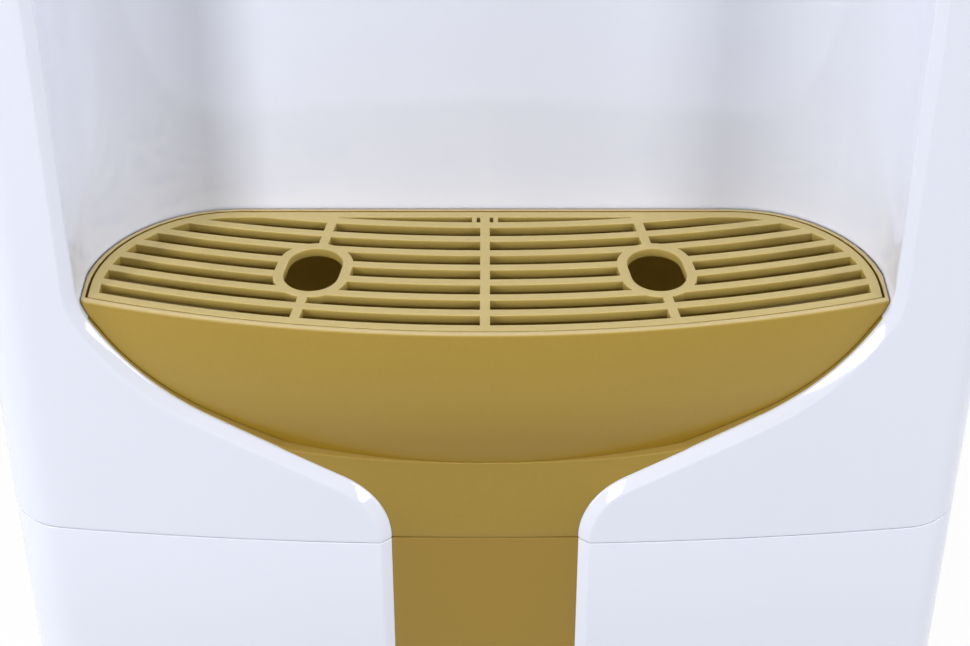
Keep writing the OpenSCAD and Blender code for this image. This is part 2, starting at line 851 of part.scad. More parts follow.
module tap_body(x) {
  ear_x = lever_w / 2 + ear_gap;
  translate([x, 0, 0]) difference() {
    union() {
      translate([0, tap_y, tap_z - tap_low]) cylinder(r = tap_r, h = tap_low + tap_high);
      translate([0, tap_y, tap_z - tap_low - spout_h]) cylinder(r1 = spout_tip_r, r2 = tap_r, h = spout_h);
      translate([0, 0, tap_z]) {
        along_y(tap_y, alcove_back_y - gasket_t) circle(barrel_r);
        along_y(alcove_back_y - gasket_t - tap_flange_t, alcove_back_y - gasket_t) circle(tap_flange_r);
        along_y(tap_y, shank_end_y) circle(shank_r);
      }
      for (s = [-1, 1])
        translate([s * (ear_x + ear_t / 2) - ear_t / 2, pin_y - ear_l / 2, tap_z + tap_high - ear_t])
        cube([ear_t, ear_l, pin_z - tap_z - tap_high + ear_t + 2 * pin_r]);
    }
    translate([0, tap_y, tap_z - tap_low - spout_h - over])
      cylinder(r = seat_r, h = tap_low + spout_h + over);
    translate([0, tap_y, tap_z - seat_low]) cylinder(r = tap_bore_r, h = seat_low + tap_bore_r + stem_room);
    translate([0, tap_y, tap_z]) cylinder(r = stem_r + stem_gap, h = tap_high + over);
    translate([0, 0, tap_z]) along_y(tap_y, shank_end_y + over) circle(tap_bore_r);
    translate([-far / 2, pin_y, pin_z]) rotate([0, 90, 0]) cylinder(r = pin_r + screw_gap, h = far);
    translate([-ear_x, pin_y - ear_l, tap_z + tap_high]) cube([2 * ear_x, 2 * ear_l, far]);
  }
}

module tap_stem(x) {
  translate([x, tap_y, tap_z - seat_low]) {
    cylinder(r = valve_r, h = valve_t);
    cylinder(r = stem_r, h = seat_low + pin_z - tap_z);
  }
  translate([x, tap_y, pin_z - stem_head_t / 2]) cylinder(r = stem_head_r, h = stem_head_t);
}

module tap_lever(x) {
  translate([x, 0, 0]) difference() {
    union() {
      translate([-lever_w / 2, pin_y - lever_l, pin_z - lever_under])
        cube([lever_w, lever_l + lever_back, lever_t]);
      translate([-paddle_w / 2, pin_y - lever_l, pin_z - lever_under])
        cube([paddle_w, lever_l - paddle_start, lever_t]);
    }
    translate([-paddle_w, pin_y, pin_z]) rotate([0, 90, 0]) cylinder(r = pin_r + stem_gap, h = 2 * paddle_w);
    translate([0, tap_y, pin_z - lever_under - over])
      cylinder(r = stem_head_r + stem_room, h = lever_under + over + stem_head_t / 2 + stem_room);
  }
}

lock_y = pin_y - lever_l + lock_end;
lock_z = pin_z - lever_under + lever_t - lock_depth;

module hot_tap_lever() {
  color(WHITE) difference() {
    tap_lever(-tap_x);
    translate([-tap_x - lock_w / 2 - fit_gap, lock_y - fit_gap, lock_z])
      cube([lock_w + 2 * fit_gap, lock_l + lock_travel + 2 * fit_gap, lock_depth + over]);
  }
}

module cold_tap_lever() {
  color(WHITE) tap_lever(tap_x);
}

module hot_tap_lock() {
  color(RED) translate([-tap_x - lock_w / 2, lock_y, lock_z]) cube([lock_w, lock_l, lock_h]);
}

module hot_tap_body() {
  color(WHITE) tap_body(-tap_x);
}

module cold_tap_body() {
  color(WHITE) tap_body(tap_x);
}

module hot_tap_stem() {
  color(GREY) tap_stem(-tap_x);
}

module cold_tap_stem() {
  color(GREY) tap_stem(tap_x);
}

module tap_pins() {
  half = lever_w / 2 + ear_gap + ear_t;
  color(STEEL) for (s = [-1, 1]) translate([s * tap_x - half, pin_y, pin_z]) rotate([0, 90, 0])
    cylinder(r = pin_r, h = 2 * half);
}

module tap_gaskets() {
  color(BLACK) for (s = [-1, 1]) translate([s * tap_x, 0, tap_z])
    along_y(alcove_back_y - gasket_t, alcove_back_y) ring(tap_flange_r - over, shank_r + screw_gap);
}

module tap_nuts() {
  color(CLEAR) for (s = [-1, 1]) translate([s * tap_x, 0, tap_z])
    along_y(alcove_outer_y, alcove_outer_y + nut_t)
    difference() {
      circle(nut_r, $fn = 6);
      circle(shank_r + screw_gap);
    }
}

// Cold tank, hung by its lip in the insulation, with the evaporator wound round it
coil_rings = 24;
coil_r = (cold_r + fit_gap) / cos(180 / coil_rings) + coil_tube_r;
coil_bed_r = coil_r + coil_tube_r + fit_gap;
lip_lap = 6;
tank_lip_r = coil_bed_r + lip_lap;
lid_t = 8;
coil_up = 12;
coil_low = cold_bottom + coil_up;
coil_turns = 8.5;
coil_sides = 6;
bung_gap = 0.15;

module tank_holes(z, h, gap) {
  for (p = [cold_drain, [feed_x, tank_y], [tap_x, tank_y]]) translate([p[0], p[1], z])
    cylinder(r = tube_r + gap, h = h);
}

module cold_tank() {
  color(STEEL) difference() {
    translate([0, tank_y, 0]) {
      translate([0, 0, cold_bottom]) difference() {
        cylinder(r = cold_r, h = cold_h);
        translate([0, 0, tank_t]) cylinder(r = cold_r - tank_t, h = cold_h);
      }
      translate([0, 0, cold_top]) linear_extrude(tank_t) ring(tank_lip_r, cold_r - tank_t);
    }
    tank_holes(cold_bottom - over, tank_t + 2 * over, bung_gap);
  }
}

module cold_insulation() {
  color([0.95, 0.95, 0.93]) difference() {
    translate([0, tank_y, tank_shelf_z + sheet_t])
      cylinder(r = insulation_r, h = cold_top - tank_shelf_z - sheet_t);
    translate([0, tank_y, cold_bottom]) cylinder(r = coil_bed_r, h = cold_h + over);
    tank_holes(tank_shelf_z - over, cold_bottom - tank_shelf_z + 2 * over, bung_gap);
    for (end = [[line_x, coil_high], [-line_x, coil_low]])
      pipe_straight([0, tank_y, end[1]], [end[0], tank_y, end[1]], pipe_r + fit_gap, 0);
  }
}

module tank_lid() {
  color(WHITE) translate([0, tank_y, cold_top + tank_t]) linear_extrude(lid_t)
    ring(insulation_r, collar_r + seat_t + fit_gap);
}

baffle_up = 0.6;
baffle_z = cold_bottom + baffle_up * cold_h;
baffle_t = 3;
baffle_leg_r = 14;
baffle_gap = 2;
baffle_slot = 8;

module cold_baffle() {
  color(WHITE) translate([0, tank_y, 0]) {
    translate([0, 0, cold_bottom + tank_t]) linear_extrude(baffle_z - cold_bottom - tank_t) difference() {
      ring(baffle_leg_r, baffle_leg_r - baffle_t);
      square([2 * baffle_leg_r, baffle_slot], center = true);
    }
    translate([0, 0, baffle_z]) linear_extrude(baffle_t)
      ring(cold_r - tank_t - baffle_gap, baffle_leg_r - baffle_t);
  }
}

// Evaporator: one tube wound up the tank
coil_high = coil_low + coil_turns * coil_pitch;
coil_steps = coil_turns * coil_rings;

function coil_at(i) = [
  coil_r * cos(180 + 360 * i / coil_rings), tank_y + coil_r * sin(180 + 360 * i / coil_rings),
  coil_low + coil_pitch * i / coil_rings
];

function coil_ring(i) = [for (k = [0:coil_sides - 1])
  let (turn = 180 + 360 * i / coil_rings, a = 360 * k / coil_sides)
  coil_at(i) + coil_tube_r * [cos(a) * cos(turn), cos(a) * sin(turn), sin(a)]];

coil_points = [for (i = [0:coil_steps], p = coil_ring(i)) p];
coil_faces = concat(
  [for (i = [0:coil_steps - 1], k = [0:coil_sides - 1], half = [0, 1])
    let (a = i * coil_sides + k, b = i * coil_sides + (k + 1) % coil_sides)
    half == 0 ? [a, a + coil_sides, b + coil_sides] : [a, b + coil_sides, b]],
  [for (k = [1:coil_sides - 2]) [0, k, k + 1]],
  [for (k = [1:coil_sides - 2]) let (e = coil_steps * coil_sides) [e, e + k + 1, e + k]]
);
echo(coil_gap = min([for (i = [0:coil_steps - coil_rings])
  norm(coil_at(i + coil_rings) - coil_at(i))]) - 2 * coil_tube_r);

module evaporator_coil() {
  color(COPPER) polyhedron(coil_points, coil_faces);
}

// Hot tank in its jacket, with the heater band and two thermostats
band_t = 2.2;
band_h = 40;
band_up = 15;
band_z = hot_bottom + band_up;
jacket_room = 1;
thermostat_r = 7;
thermostat_h = 6;
thermostat_out = [26, -18];
thermostat_spots = [for (s = [-1, 1]) [-hot_x + s * thermostat_out[0], tank_y + thermostat_out[1]]];
jacket_inner_r = hot_r + screw_gap + band_t + fit_gap;
jacket_top = hot_top + thermostat_h + jacket_room + jacket_t / 2;

module hot_tank() {
  color(STEEL) difference() {
    translate([-hot_x, tank_y, hot_bottom]) difference() {
      cylinder(r = hot_r, h = hot_h);
      translate([0, 0, tank_t]) cylinder(r = hot_r - tank_t, h = hot_h - 2 * tank_t);
    }
    for (p = [[feed_x, tank_y], [-tap_x, hot_outlet_y]]) translate([p[0], p[1], hot_top - tank_t - over])
      cylinder(r = tube_r + bung_gap, h = tank_t + 2 * over);
    translate([hot_drain[0], hot_drain[1], hot_bottom - over])
      cylinder(r = tube_r + bung_gap, h = tank_t + 2 * over);
  }
}

module hot_jacket() {
  color([0.20, 0.20, 0.21]) difference() {
    translate([-hot_x, tank_y, middle_shelf_z + sheet_t])
      cylinder(r = jacket_inner_r + jacket_t, h = jacket_top - middle_shelf_z - sheet_t);
    translate([-hot_x, tank_y, hot_bottom])
      cylinder(r = jacket_inner_r, h = hot_h + thermostat_h + jacket_room);
    for (p = [[feed_x, tank_y], [-tap_x, hot_outlet_y]]) translate([p[0], p[1], hot_top])
      cylinder(r = tube_r + bung_gap, h = hot_clear);
    translate([hot_drain[0], hot_drain[1], middle_shelf_z]) cylinder(r = tube_r + bung_gap, h = 2 * jacket_t);
  }
}

module heater_band() {
  color(STEEL) translate([-hot_x, tank_y, band_z]) linear_extrude(band_h)
    ring(hot_r + screw_gap + band_t, hot_r + screw_gap);
}

module hot_thermostats() {
  color(BLACK) for (p = thermostat_spots) translate([p[0], p[1], hot_top])
    cylinder(r = thermostat_r, h = thermostat_h);
}

// Water tubes
tube_under = 6;
tube_run_z = tank_shelf_z - tube_r - tube_under;

module feed_tube() {
  color(CLEAR) pipe(
    [[feed_x, tank_y, cold_bottom + tank_t], [feed_x, tank_y, hot_top - tank_t]], tube_bend, tube_r, tube_bore
  );
}

module hot_tube() {
  color(CLEAR) pipe([
    [-tap_x, shank_end_y, tap_z],
    [-tap_x, riser_y, tap_z],
    [-tap_x, riser_y, tube_run_z],
    [-tap_x, hot_outlet_y, tube_run_z],
    [-tap_x, hot_outlet_y, hot_top - tank_t]
  ], tube_bend, tube_r, tube_bore);
}

module cold_tube() {
  color(CLEAR) pipe([
    [tap_x, shank_end_y, tap_z],
    [tap_x, riser_y, tap_z],
    [tap_x, riser_y, tube_run_z],
    [tap_x, tank_y, tube_run_z],
    [tap_x, tank_y, cold_bottom + tank_t]
  ], tube_bend, tube_r, tube_bore);
}

module drain_tubes() {
  end_y = rear_panel_y - sheet_t - spout_in;
  color(CLEAR) {
    pipe([
      [cold_drain[0], cold_drain[1], cold_bottom + tank_t], [cold_drain[0], cold_drain[1], drain_z],
      [cold_drain[0], end_y, drain_z]
    ], tube_bend, tube_r, tube_bore);
    pipe([
      [hot_drain[0], hot_drain[1], hot_bottom + tank_t], [hot_drain[0], hot_drain[1], drain_z],
      [hot_drain[0], end_y, drain_z]
    ], tube_bend, tube_r, tube_bore);
  }
}

// Drain spouts through the rear panel and their pull-off caps
spout_in = 10;
spout_out = 16;
spout_flange_r = 11;
spout_flange_t = 2.5;
spout_bore = 3.5;
cap_t = 2;
cap_l = 18;

module drain_spouts() {
  color(GREY) for (x = drain_xs) translate([x, 0, drain_z]) difference() {
    union() {
      along_y(rear_panel_y - sheet_t - spout_in, rear_panel_y + spout_out) circle(spout_r);
      along_y(rear_panel_y, rear_panel_y + spout_flange_t) circle(spout_flange_r);
    }
    along_y(rear_panel_y - sheet_t - spout_in - over, rear_panel_y + spout_out + over) circle(spout_bore);
  }
}

module drain_cap(x) {
  start_y = rear_panel_y + spout_flange_t + fit_gap;
  translate([x, 0, drain_z]) difference() {
    along_y(start_y, start_y + cap_l) circle(spout_r + fit_gap + cap_t);
    along_y(start_y - over, rear_panel_y + spout_out + fit_gap) circle(spout_r + fit_gap);
  }
}

module hot_drain_cap() {
  color(RED) drain_cap(drain_xs[0]);
}

module cold_drain_cap() {
  color(BLUE) drain_cap(drain_xs[1]);
}

// Compressor on its bracket, grommets and bolts
pan_floor_z = foot_h + floor_t;
bracket_t = 3;
bracket_w = 172;
bracket_d = 108;
pot_in = 76;
pot_y = rear_y - pot_in;
pot_z = pan_floor_z + grommet_h + bracket_t;
pot_seam_h = 6;
pot_seam_w = 3;
pot_dome_h = 30;
grommet_r = 9;
grommet_in = 14;
grommet_x = bracket_w / 2 - grommet_in;
grommet_y = bracket_d / 2 - grommet_in;
bolt_r = 3.5;
bolt_head_h = 5;
bolt_head_r = 7;
pot_crown_r = (pot_r * pot_r + pot_dome_h * pot_dome_h) / (2 * pot_dome_h);

module at_grommets() {
  for (x = [-grommet_x, grommet_x], y = [-grommet_y, grommet_y]) translate([x, pot_y + y, pan_floor_z])
    children();
}

module compressor() {
  color(BLACK) translate([0, pot_y, pot_z]) {
    cylinder(r = pot_r, h = pot_h - pot_dome_h);
    translate([0, 0, pot_h / 2]) cylinder(r = pot_r + pot_seam_w, h = pot_seam_h);
    intersection() {
      translate([0, 0, pot_h - pot_crown_r]) sphere(pot_crown_r, $fn = 96);
      translate([0, 0, pot_h - pot_dome_h - over]) cylinder(r = pot_r, h = pot_dome_h + over);
    }
  }
}

module compressor_bracket() {
  color(BLACK) difference() {
    translate([-bracket_w / 2, pot_y - bracket_d / 2, pan_floor_z + grommet_h])
      cube([bracket_w, bracket_d, bracket_t]);
    at_grommets() cylinder(r = bolt_r + fit_gap, h = 2 * grommet_h);
  }
}

module compressor_grommets() {
  color(GREY) at_grommets() linear_extrude(grommet_h) ring(grommet_r, bolt_r + fit_gap);
}

module compressor_bolts() {
  color(STEEL) at_grommets() {
    cylinder(r = bolt_r, h = grommet_h + bracket_t + bolt_head_h);
    translate([0, 0, grommet_h + bracket_t]) cylinder(r = bolt_head_r, h = bolt_head_h, $fn = 6);
  }
}

relay_w = 26;
relay_d = 56;
relay_h = 48;
relay_up = 14;
relay_z = pot_z + relay_up;

module relay_cover() {
  color(BLACK) difference() {
    translate([-pot_r - relay_w, pot_y - relay_d / 2, relay_z]) cube([2 * relay_w, relay_d, relay_h]);
    translate([0, pot_y, relay_z - over]) cylinder(r = pot_r + fit_gap, h = relay_h + 2 * over);
  }
}

// Condenser: a serpentine pipe between two rows of wires behind the rear panel
condenser_up = 76;
condenser_low = rear_open_h + condenser_up;
condenser_high = condenser_low + (condenser_rows - 1) * condenser_pitch;
condenser_bend = condenser_pitch / 2;
condenser_half = line_x - condenser_bend - 2 * pipe_r - riser_gap;
return_bend = 14;
discharge_up = 0.72;
discharge_z = pot_z + pot_h * discharge_up;
drier_down = 26;
drier_z = rear_open_h - drier_down;
drier_r = 9;
drier_l = 90;
drier_room = 25.9;
drier_start = condenser_y - drier_room;
drier_end = drier_start - drier_l;
row_zs = [for (i = [0:condenser_rows - 1]) condenser_low + i * condenser_pitch];

module condenser_tube() {
  color(BLACK) {
    for (z = row_zs)
      pipe_straight([-condenser_half, condenser_y, z], [condenser_half, condenser_y, z], pipe_r, 0);
    for (i = [0:condenser_rows - 2]) {
      s = i % 2 == 0 ? 1 : -1;
      translate([s * condenser_half, condenser_y, row_zs[i] + condenser_bend]) rotate([90, 0, 0])
        rotate(s * 90 - 180)
        rotate_extrude(angle = 180) translate([condenser_bend, 0]) circle(pipe_r);
    }
    pipe([
      [-condenser_half, condenser_y, condenser_low],
      [-line_x, condenser_y, condenser_low],
      [-line_x, condenser_y, drier_z],
      [-line_x, drier_start, drier_z]
    ], return_bend, pipe_r);
    pipe([
      [condenser_half, condenser_y, condenser_high],
      [line_x, condenser_y, condenser_high],
      [line_x, condenser_y, discharge_z],
      [line_x, pot_y, discharge_z],
      [pot_r + fit_gap, pot_y, discharge_z]
    ], return_bend, pipe_r);
  }
}

wire_n = floor((condenser_half - wire_r) / wire_pitch);
wire_over = 12;

module condenser_wires() {
  color(BLACK) for (i = [-wire_n:wire_n], s = [-1, 1])
    translate([i * wire_pitch, condenser_y + s * (pipe_r + wire_r + screw_gap), condenser_low - wire_over])
      cylinder(r = wire_r, h = condenser_high - condenser_low + 2 * wire_over, $fn = 16);
}

clip_w = 6;
clip_h = 14;
clip_in = 0.5;
clip_x = (wire_n - clip_in) * wire_pitch;
clip_over = 3;

module condenser_brackets() {
  color(GREY) for (s = [-1, 1], z = [row_zs[1], row_zs[condenser_rows - 2]]) difference() {
    translate([s * clip_x - clip_w / 2, rear_panel_y, z - clip_h / 2])
      cube([clip_w, condenser_y - rear_panel_y + clip_over, clip_h]);
    translate([s * clip_x, condenser_y, z]) rotate([0, 90, 0])
      cylinder(r = pipe_r + screw_gap, h = 2 * clip_w, center = true);
  }
}

// Filter drier, capillary tube and suction line
capillary_r = 1.4;
capillary_bend = 8;
drier_neck = 12;
neck_wall = 1;

module filter_drier() {
  color(COPPER) {
    translate([-line_x, drier_start, drier_z]) rotate([90, 0, 0]) rotate_extrude() polygon([
      [0, 0], [pipe_r + neck_wall, 0], [drier_r, drier_neck], [drier_r, drier_l - drier_neck],
      [capillary_r + neck_wall, drier_l], [0, drier_l]
    ]);
    pipe([
      [-line_x, drier_end, drier_z],
      [-line_x, tank_y, drier_z],
      [-line_x, tank_y, coil_low],
      [-coil_r - coil_tube_r - fit_gap, tank_y, coil_low]
    ], capillary_bend, capillary_r);
  }
}

suction_up = 20;
suction_z = pot_z + suction_up;
suction_bend = 10;

module suction_line() {
  color(COPPER) pipe([
    [coil_r + coil_tube_r + fit_gap, tank_y, coil_high],
    [line_x, tank_y, coil_high],
    [line_x, tank_y, suction_z],
    [line_x, pot_y, suction_z],
    [pot_r + fit_gap, pot_y, suction_z]
  ], suction_bend, pipe_r);
}

// Mains inlet with three blades in its recess
inlet_flange_t = 3;
inlet_flange_w = 50;
inlet_depth = 26;
inlet_wall = 2.5;
blade_w = 2;
blade_h = 4;
blade_l = 14;
blade_pitch = 7;

module power_inlet() {
  color(BLACK) translate([inlet_x, 0, inlet_z]) {
    difference() {
      union() {
        along_y(rear_panel_y - inlet_depth, rear_panel_y) square([inlet_w, inlet_h], center = true);
        along_y(rear_panel_y, rear_panel_y + inlet_flange_t)
          square([inlet_flange_w, inlet_h + 2 * inlet_wall], center = true);
      }
      along_y(rear_panel_y - inlet_depth + inlet_wall, rear_panel_y + inlet_flange_t + over)
        square([inlet_w - 2 * inlet_wall, inlet_h - 2 * inlet_wall], center = true);
    }
    for (i = [-1:1]) along_y(rear_panel_y - inlet_depth, rear_panel_y - inlet_depth + inlet_wall + blade_l)
      translate([i * blade_pitch, i == 0 ? blade_h / 2 : -blade_h / 2])
        square([blade_w, blade_h], center = true);
  }
}

// Rocker switches: half discs that tip in their housings
switch_flange = 3;
switch_rim = switch_wall + switch_flange;
switch_flange_t = 2;
switch_depth = 16;
rocker_gap = 0.5;
rocker_r = switch_h / 2 - rocker_gap;
rocker_axis_y = rear_panel_y + rocker_gap;
rocker_face = 2.2;
rocker_tilt = 10;

module switch_housings() {
  color(BLACK) for (x = switch_xs) translate([x, 0, switch_z]) difference() {
    union() {
      along_y(rear_panel_y - switch_depth, rear_panel_y)
        square([switch_w + 2 * switch_wall, switch_h + 2 * switch_wall], center = true);
      along_y(rear_panel_y, rear_panel_y + switch_flange_t)
        square([switch_w + 2 * switch_rim, switch_h + 2 * switch_rim], center = true);
    }
    along_y(rear_panel_y - switch_depth + switch_wall, rear_panel_y + switch_flange_t + over)
      square([switch_w, switch_h], center = true);
  }
}

module rocker(x) {
  half = switch_w / 2 - rocker_gap;
  translate([x, rocker_axis_y, switch_z]) rotate([-rocker_tilt, 0, 0]) intersection() {
    translate([-half, 0, 0]) rotate([0, 90, 0]) cylinder(r = rocker_r, h = 2 * half);
    translate([-far / 2, rocker_face - far, -far / 2]) cube([far, far, far]);
  }
}

module hot_switch() {
  color(RED) rocker(switch_xs[0]);
}

module cold_switch() {
  color(BLUE) rocker(switch_xs[1]);
}

base_pan();
feet();
left_side_panel();
right_side_panel();
rear_panel();
middle_shelf();
tank_shelf();
front_cover();
lower_front_panel();
centre_strip();
tray_cradle();
drip_tray();
drip_grille();
top_cover();
bottle_seat();
feed_probe();
indicator_fascia();
indicator_lenses();
indicator_board();
hot_tap_body();
cold_tap_body();
hot_tap_lever();
cold_tap_lever();
hot_tap_stem();
cold_tap_stem();
tap_pins();
tap_gaskets();
tap_nuts();
hot_tap_lock();
cold_tank();
cold_insulation();
tank_lid();
cold_baffle();
evaporator_coil();
hot_tank();
hot_jacket();
heater_band();
hot_thermostats();
feed_tube();
hot_tube();
cold_tube();
drain_tubes();
drain_spouts();
hot_drain_cap();
cold_drain_cap();
compressor();
compressor_bracket();
compressor_grommets();
compressor_bolts();
relay_cover();
condenser_tube();
condenser_wires();
condenser_brackets();
filter_drier();
suction_line();
cabinet_screws();
power_inlet();
switch_housings();
hot_switch();
cold_switch();
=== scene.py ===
"""Looks of a floor-standing water cooler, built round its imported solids.

Blender's lengths are metres. Sizes here are millimetres, and MM turns them into metres.
"""

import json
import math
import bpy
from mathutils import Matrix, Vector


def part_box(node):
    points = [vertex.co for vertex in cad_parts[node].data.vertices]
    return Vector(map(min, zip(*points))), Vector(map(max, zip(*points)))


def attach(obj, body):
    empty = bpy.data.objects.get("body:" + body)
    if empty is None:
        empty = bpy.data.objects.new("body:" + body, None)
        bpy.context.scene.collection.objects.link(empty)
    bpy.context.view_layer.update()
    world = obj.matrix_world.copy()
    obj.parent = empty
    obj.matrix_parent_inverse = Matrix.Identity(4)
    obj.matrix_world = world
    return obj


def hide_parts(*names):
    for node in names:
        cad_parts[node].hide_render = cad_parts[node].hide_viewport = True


bl_info = {
    "name": "Water cooler",
    "version": (1, 0, 0),
    "blender": (4, 5, 0),
    "location": "View3D > Sidebar > Cooler",
    "description": "Builds the looks of a floor-standing water cooler round its packed solids",
    "category": "Object",
}

import bmesh
import bpy
from bpy.props import FloatProperty, IntProperty, PointerProperty, StringProperty
from mathutils import Matrix, Vector

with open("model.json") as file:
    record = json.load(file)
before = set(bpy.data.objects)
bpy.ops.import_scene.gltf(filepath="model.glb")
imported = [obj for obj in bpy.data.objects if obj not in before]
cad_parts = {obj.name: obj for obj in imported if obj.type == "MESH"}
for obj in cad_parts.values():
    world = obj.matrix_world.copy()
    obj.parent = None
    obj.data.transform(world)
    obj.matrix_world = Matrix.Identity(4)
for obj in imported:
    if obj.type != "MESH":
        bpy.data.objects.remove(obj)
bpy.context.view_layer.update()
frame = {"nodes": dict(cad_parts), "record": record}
NODES = frame["nodes"]

MM = 0.001
QUARTER = math.pi / 2
WHITE = (1, 1, 1, 1)
# Points of a mesh that lie closer than this, in metres, become one
WELD = 2e-6
# Slack between two worked-out places
NEAR = 0.01

# The front in plan: a bow of large radius, round corners and straight side returns
FRONT_Y = -163.0
BOW_R = 1175.0
HALF_W = 156.0
CORNER_R = 20.0
RETURN_Y = -95.0
REAR_Y = 137.0
BOW_CY = FRONT_Y + BOW_R
CORNER_X = HALF_W - CORNER_R
CORNER_Y = BOW_CY - math.sqrt((BOW_R - CORNER_R) ** 2 - CORNER_X**2)
CORNER_POINTS = 13
MEET_A = math.asin(CORNER_X / (BOW_R - CORNER_R))
MEET_X = BOW_R * math.sin(MEET_A)
WALL = 1.6

# Heights
BASE_TOP = 44.0
SEAM_Z = 511.2
POCKET_Z = 534.0
RIM_Z = 600.0
CEILING_Z = 838.0
COVER_TOP = 930.0
TOP_Z = 962.0

# Goblet opening, seen from the front, with Z counted from the rim
CUP_R = 88.0
CUP_C = (43.26, 36.375)
NECK_R = 28.0
NECK_C = (58.1, -88.027)
SLOPE = math.radians(61.0)
STEM_HALF = 30.1
ALCOVE_HALF = 123.2
ALCOVE_BACK_Y = -99.8
ALCOVE_R = 44.6
ALCOVE_SIDE_POINTS = 4

# Arc that leads the goblet's cup into the alcove's upright edge
BLEND_R = 20.0
BLEND_X = ALCOVE_HALF - BLEND_R
BLEND_A = math.acos((BLEND_X - CUP_C[0]) / (CUP_R - BLEND_R))
BLEND_Z = CUP_C[1] - (CUP_R - BLEND_R) * math.sin(BLEND_A)

# Lip of the opening: flats beside its bevel, the bevel's depth as a share of its width, and its rounded edges
LIP_FLAT = 1.3
LIP_DEPTH = 0.83
LIP_ROUND = 1.0

# Goblet's wall behind the lip: a first step, its depth at the stem, and what it gains towards the rim
STEP_DEEP = 3.0
STEM_DEEP = 9.5
CUP_GAIN = 5.5
CUP_FROM = -20.0
CUP_RISE = 12.0

# Heights of the alcove's sections below the rim, from its floor up
POCKET_LEVELS = (POCKET_Z - RIM_Z, -40, -14, 0)

# Lower panel: how far its foot turns in, its gap to the base, and the channel behind the strip
SILL = 0.8
SILL_GAP = 0.02
CHANNEL_HALF = 38.5
CHANNEL_Y = FRONT_Y + 8.8
CHANNEL_ROUND = 1.5

# Drip tray: its plan, its leaning front and its round keel
TRAY_FRONT_Y = -170.0
TRAY_BACK_Y = -100.4
TRAY_HALF = 122.85
TRAY_R = 420.0
TRAY_CORNER_R = 44.0
TRAY_LEAN = math.radians(13.0)
KEEL_R = 280.0
BOWL_H = 60.0
KEEL_CZ = KEEL_R - BOWL_H
BOWL_WALL = 2.4
BOWL_EDGE = 0.4
SECTION_STEP = 1.5

# Tray's rim and the ledge that carries the grille, with Z counted from the rim
RIM_WIDE = 1.75
RIM_ROUND = 1.0
RIM_FACE = -1.2
RIM_LOW = -4.4
LEDGE_WIDE = 4.4
LEDGE_Z = -3.0

# Gap between the bowl and the opening: at the rim, below it, and the height over which it widens
RIM_GAP = 0.1
BOWL_GAP = 0.6
GAP_RANGE = 5.0

# Tray's two feet
FOOT_X = 22.0
FOOT_HALF = 8.0
FOOT_FRONT_Y = -135.2
FOOT_BACK_Y = -115.2
FOOT_H = 8.4
FOOT_R = 3.0
FOOT_EDGE = 0.8

# Neck piece: gap to the opening, step behind the front, thickness, rounded edges, room for the bowl, arms
NECK_GAP = 0.05
NECK_STEP = 3.2
NECK_THICK = 7.0
NECK_LOW = SEAM_Z - RIM_Z + 0.12
NECK_BEAD = 0.6
NECK_LIP = 0.3
ROOM_GAP = 0.15
ARM_FROM_X = 60.0
ARM_TOP = -5.8

# Top cover and the bottle seat's axis
TOP_ROUND = 11.0
TOP_REAR_R = 7.0
TOP_LEAST_R = 0.6
TOP_HOLE_R = 98.9
TOP_WALL = 2.5
TOP_THICK = 4.0
SEAT_Y = 20.0
SEAT_ROUND = 2.2

# Taps: their upright axis, the barrel's height, and the lever's pin with the ears that hold it
TAP_Y = -135.4
TAP_Z = 801.0
TAP_ROUND = 1.2
PIN_Y = -144.4
PIN_Z = 826.0
EAR_R = 4.5
EAR_IN = 7.9
EAR_OUT = 10.9
EAR_EDGE = 0.6
EAR_ROUND = 3.0

# Lever: rounding of its sections, and the oval mark on the cold one
LEVER_ROUND = 2.0
MARK_Y = -159.4
MARK_WIDE = 3.4
MARK_LONG = 3.0
MARK_LOW = 829.9
MARK_HIGH = 831.2
MARK_EDGE = 0.3

# Floor with its greys as light and to the eye, and where it fades to white; the lamps' aim, and the eye
FLOOR_R = 8000.0
FLOOR_DROP = 0.5
FLOOR_SIDES = 64
FLOOR_GREY = (0.22, 0.22, 0.22, 1)
FLOOR_SEEN = (0.24, 0.24, 0.24, 1)
FLOOR_LIFT = 0.80
FADE_FROM = 600.0
FADE_TO = 2400.0
LAMP_AIM = (0.0, -130.0, 650.0)
EYE_PLACE = (0.0, -664.9, 962.3)
EYE_FILM = 36.0


def linear(text):
    """Linear colour of an sRGB hex value, opaque."""
    parts = [int(text[i : i + 2], 16) / 255 for i in (1, 3, 5)]
    return tuple(c / 12.92 if c <= 0.04045 else ((c + 0.055) / 1.055) ** 2.4 for c in parts) + (1.0,)


class ShellSettings(bpy.types.PropertyGroup):
    colour: StringProperty(name="Shell colour", description="Colour of the moulded shells", default="#DDE1EF")
    lip: FloatProperty(name="Lip", description="Radius of the opening's lip", default=3.5 * MM, unit="LENGTH")
    bead: FloatProperty(name="Bead", description="Radius of seam edges", default=0.35 * MM, unit="LENGTH")
    seam: FloatProperty(name="Seam", description="Half of the seam's gap", default=0.08 * MM, unit="LENGTH")
    alcove_corner: FloatProperty(
        name="Alcove corner", description="Radius between the alcove's walls and its ceiling",
        default=12 * MM, unit="LENGTH",
    )


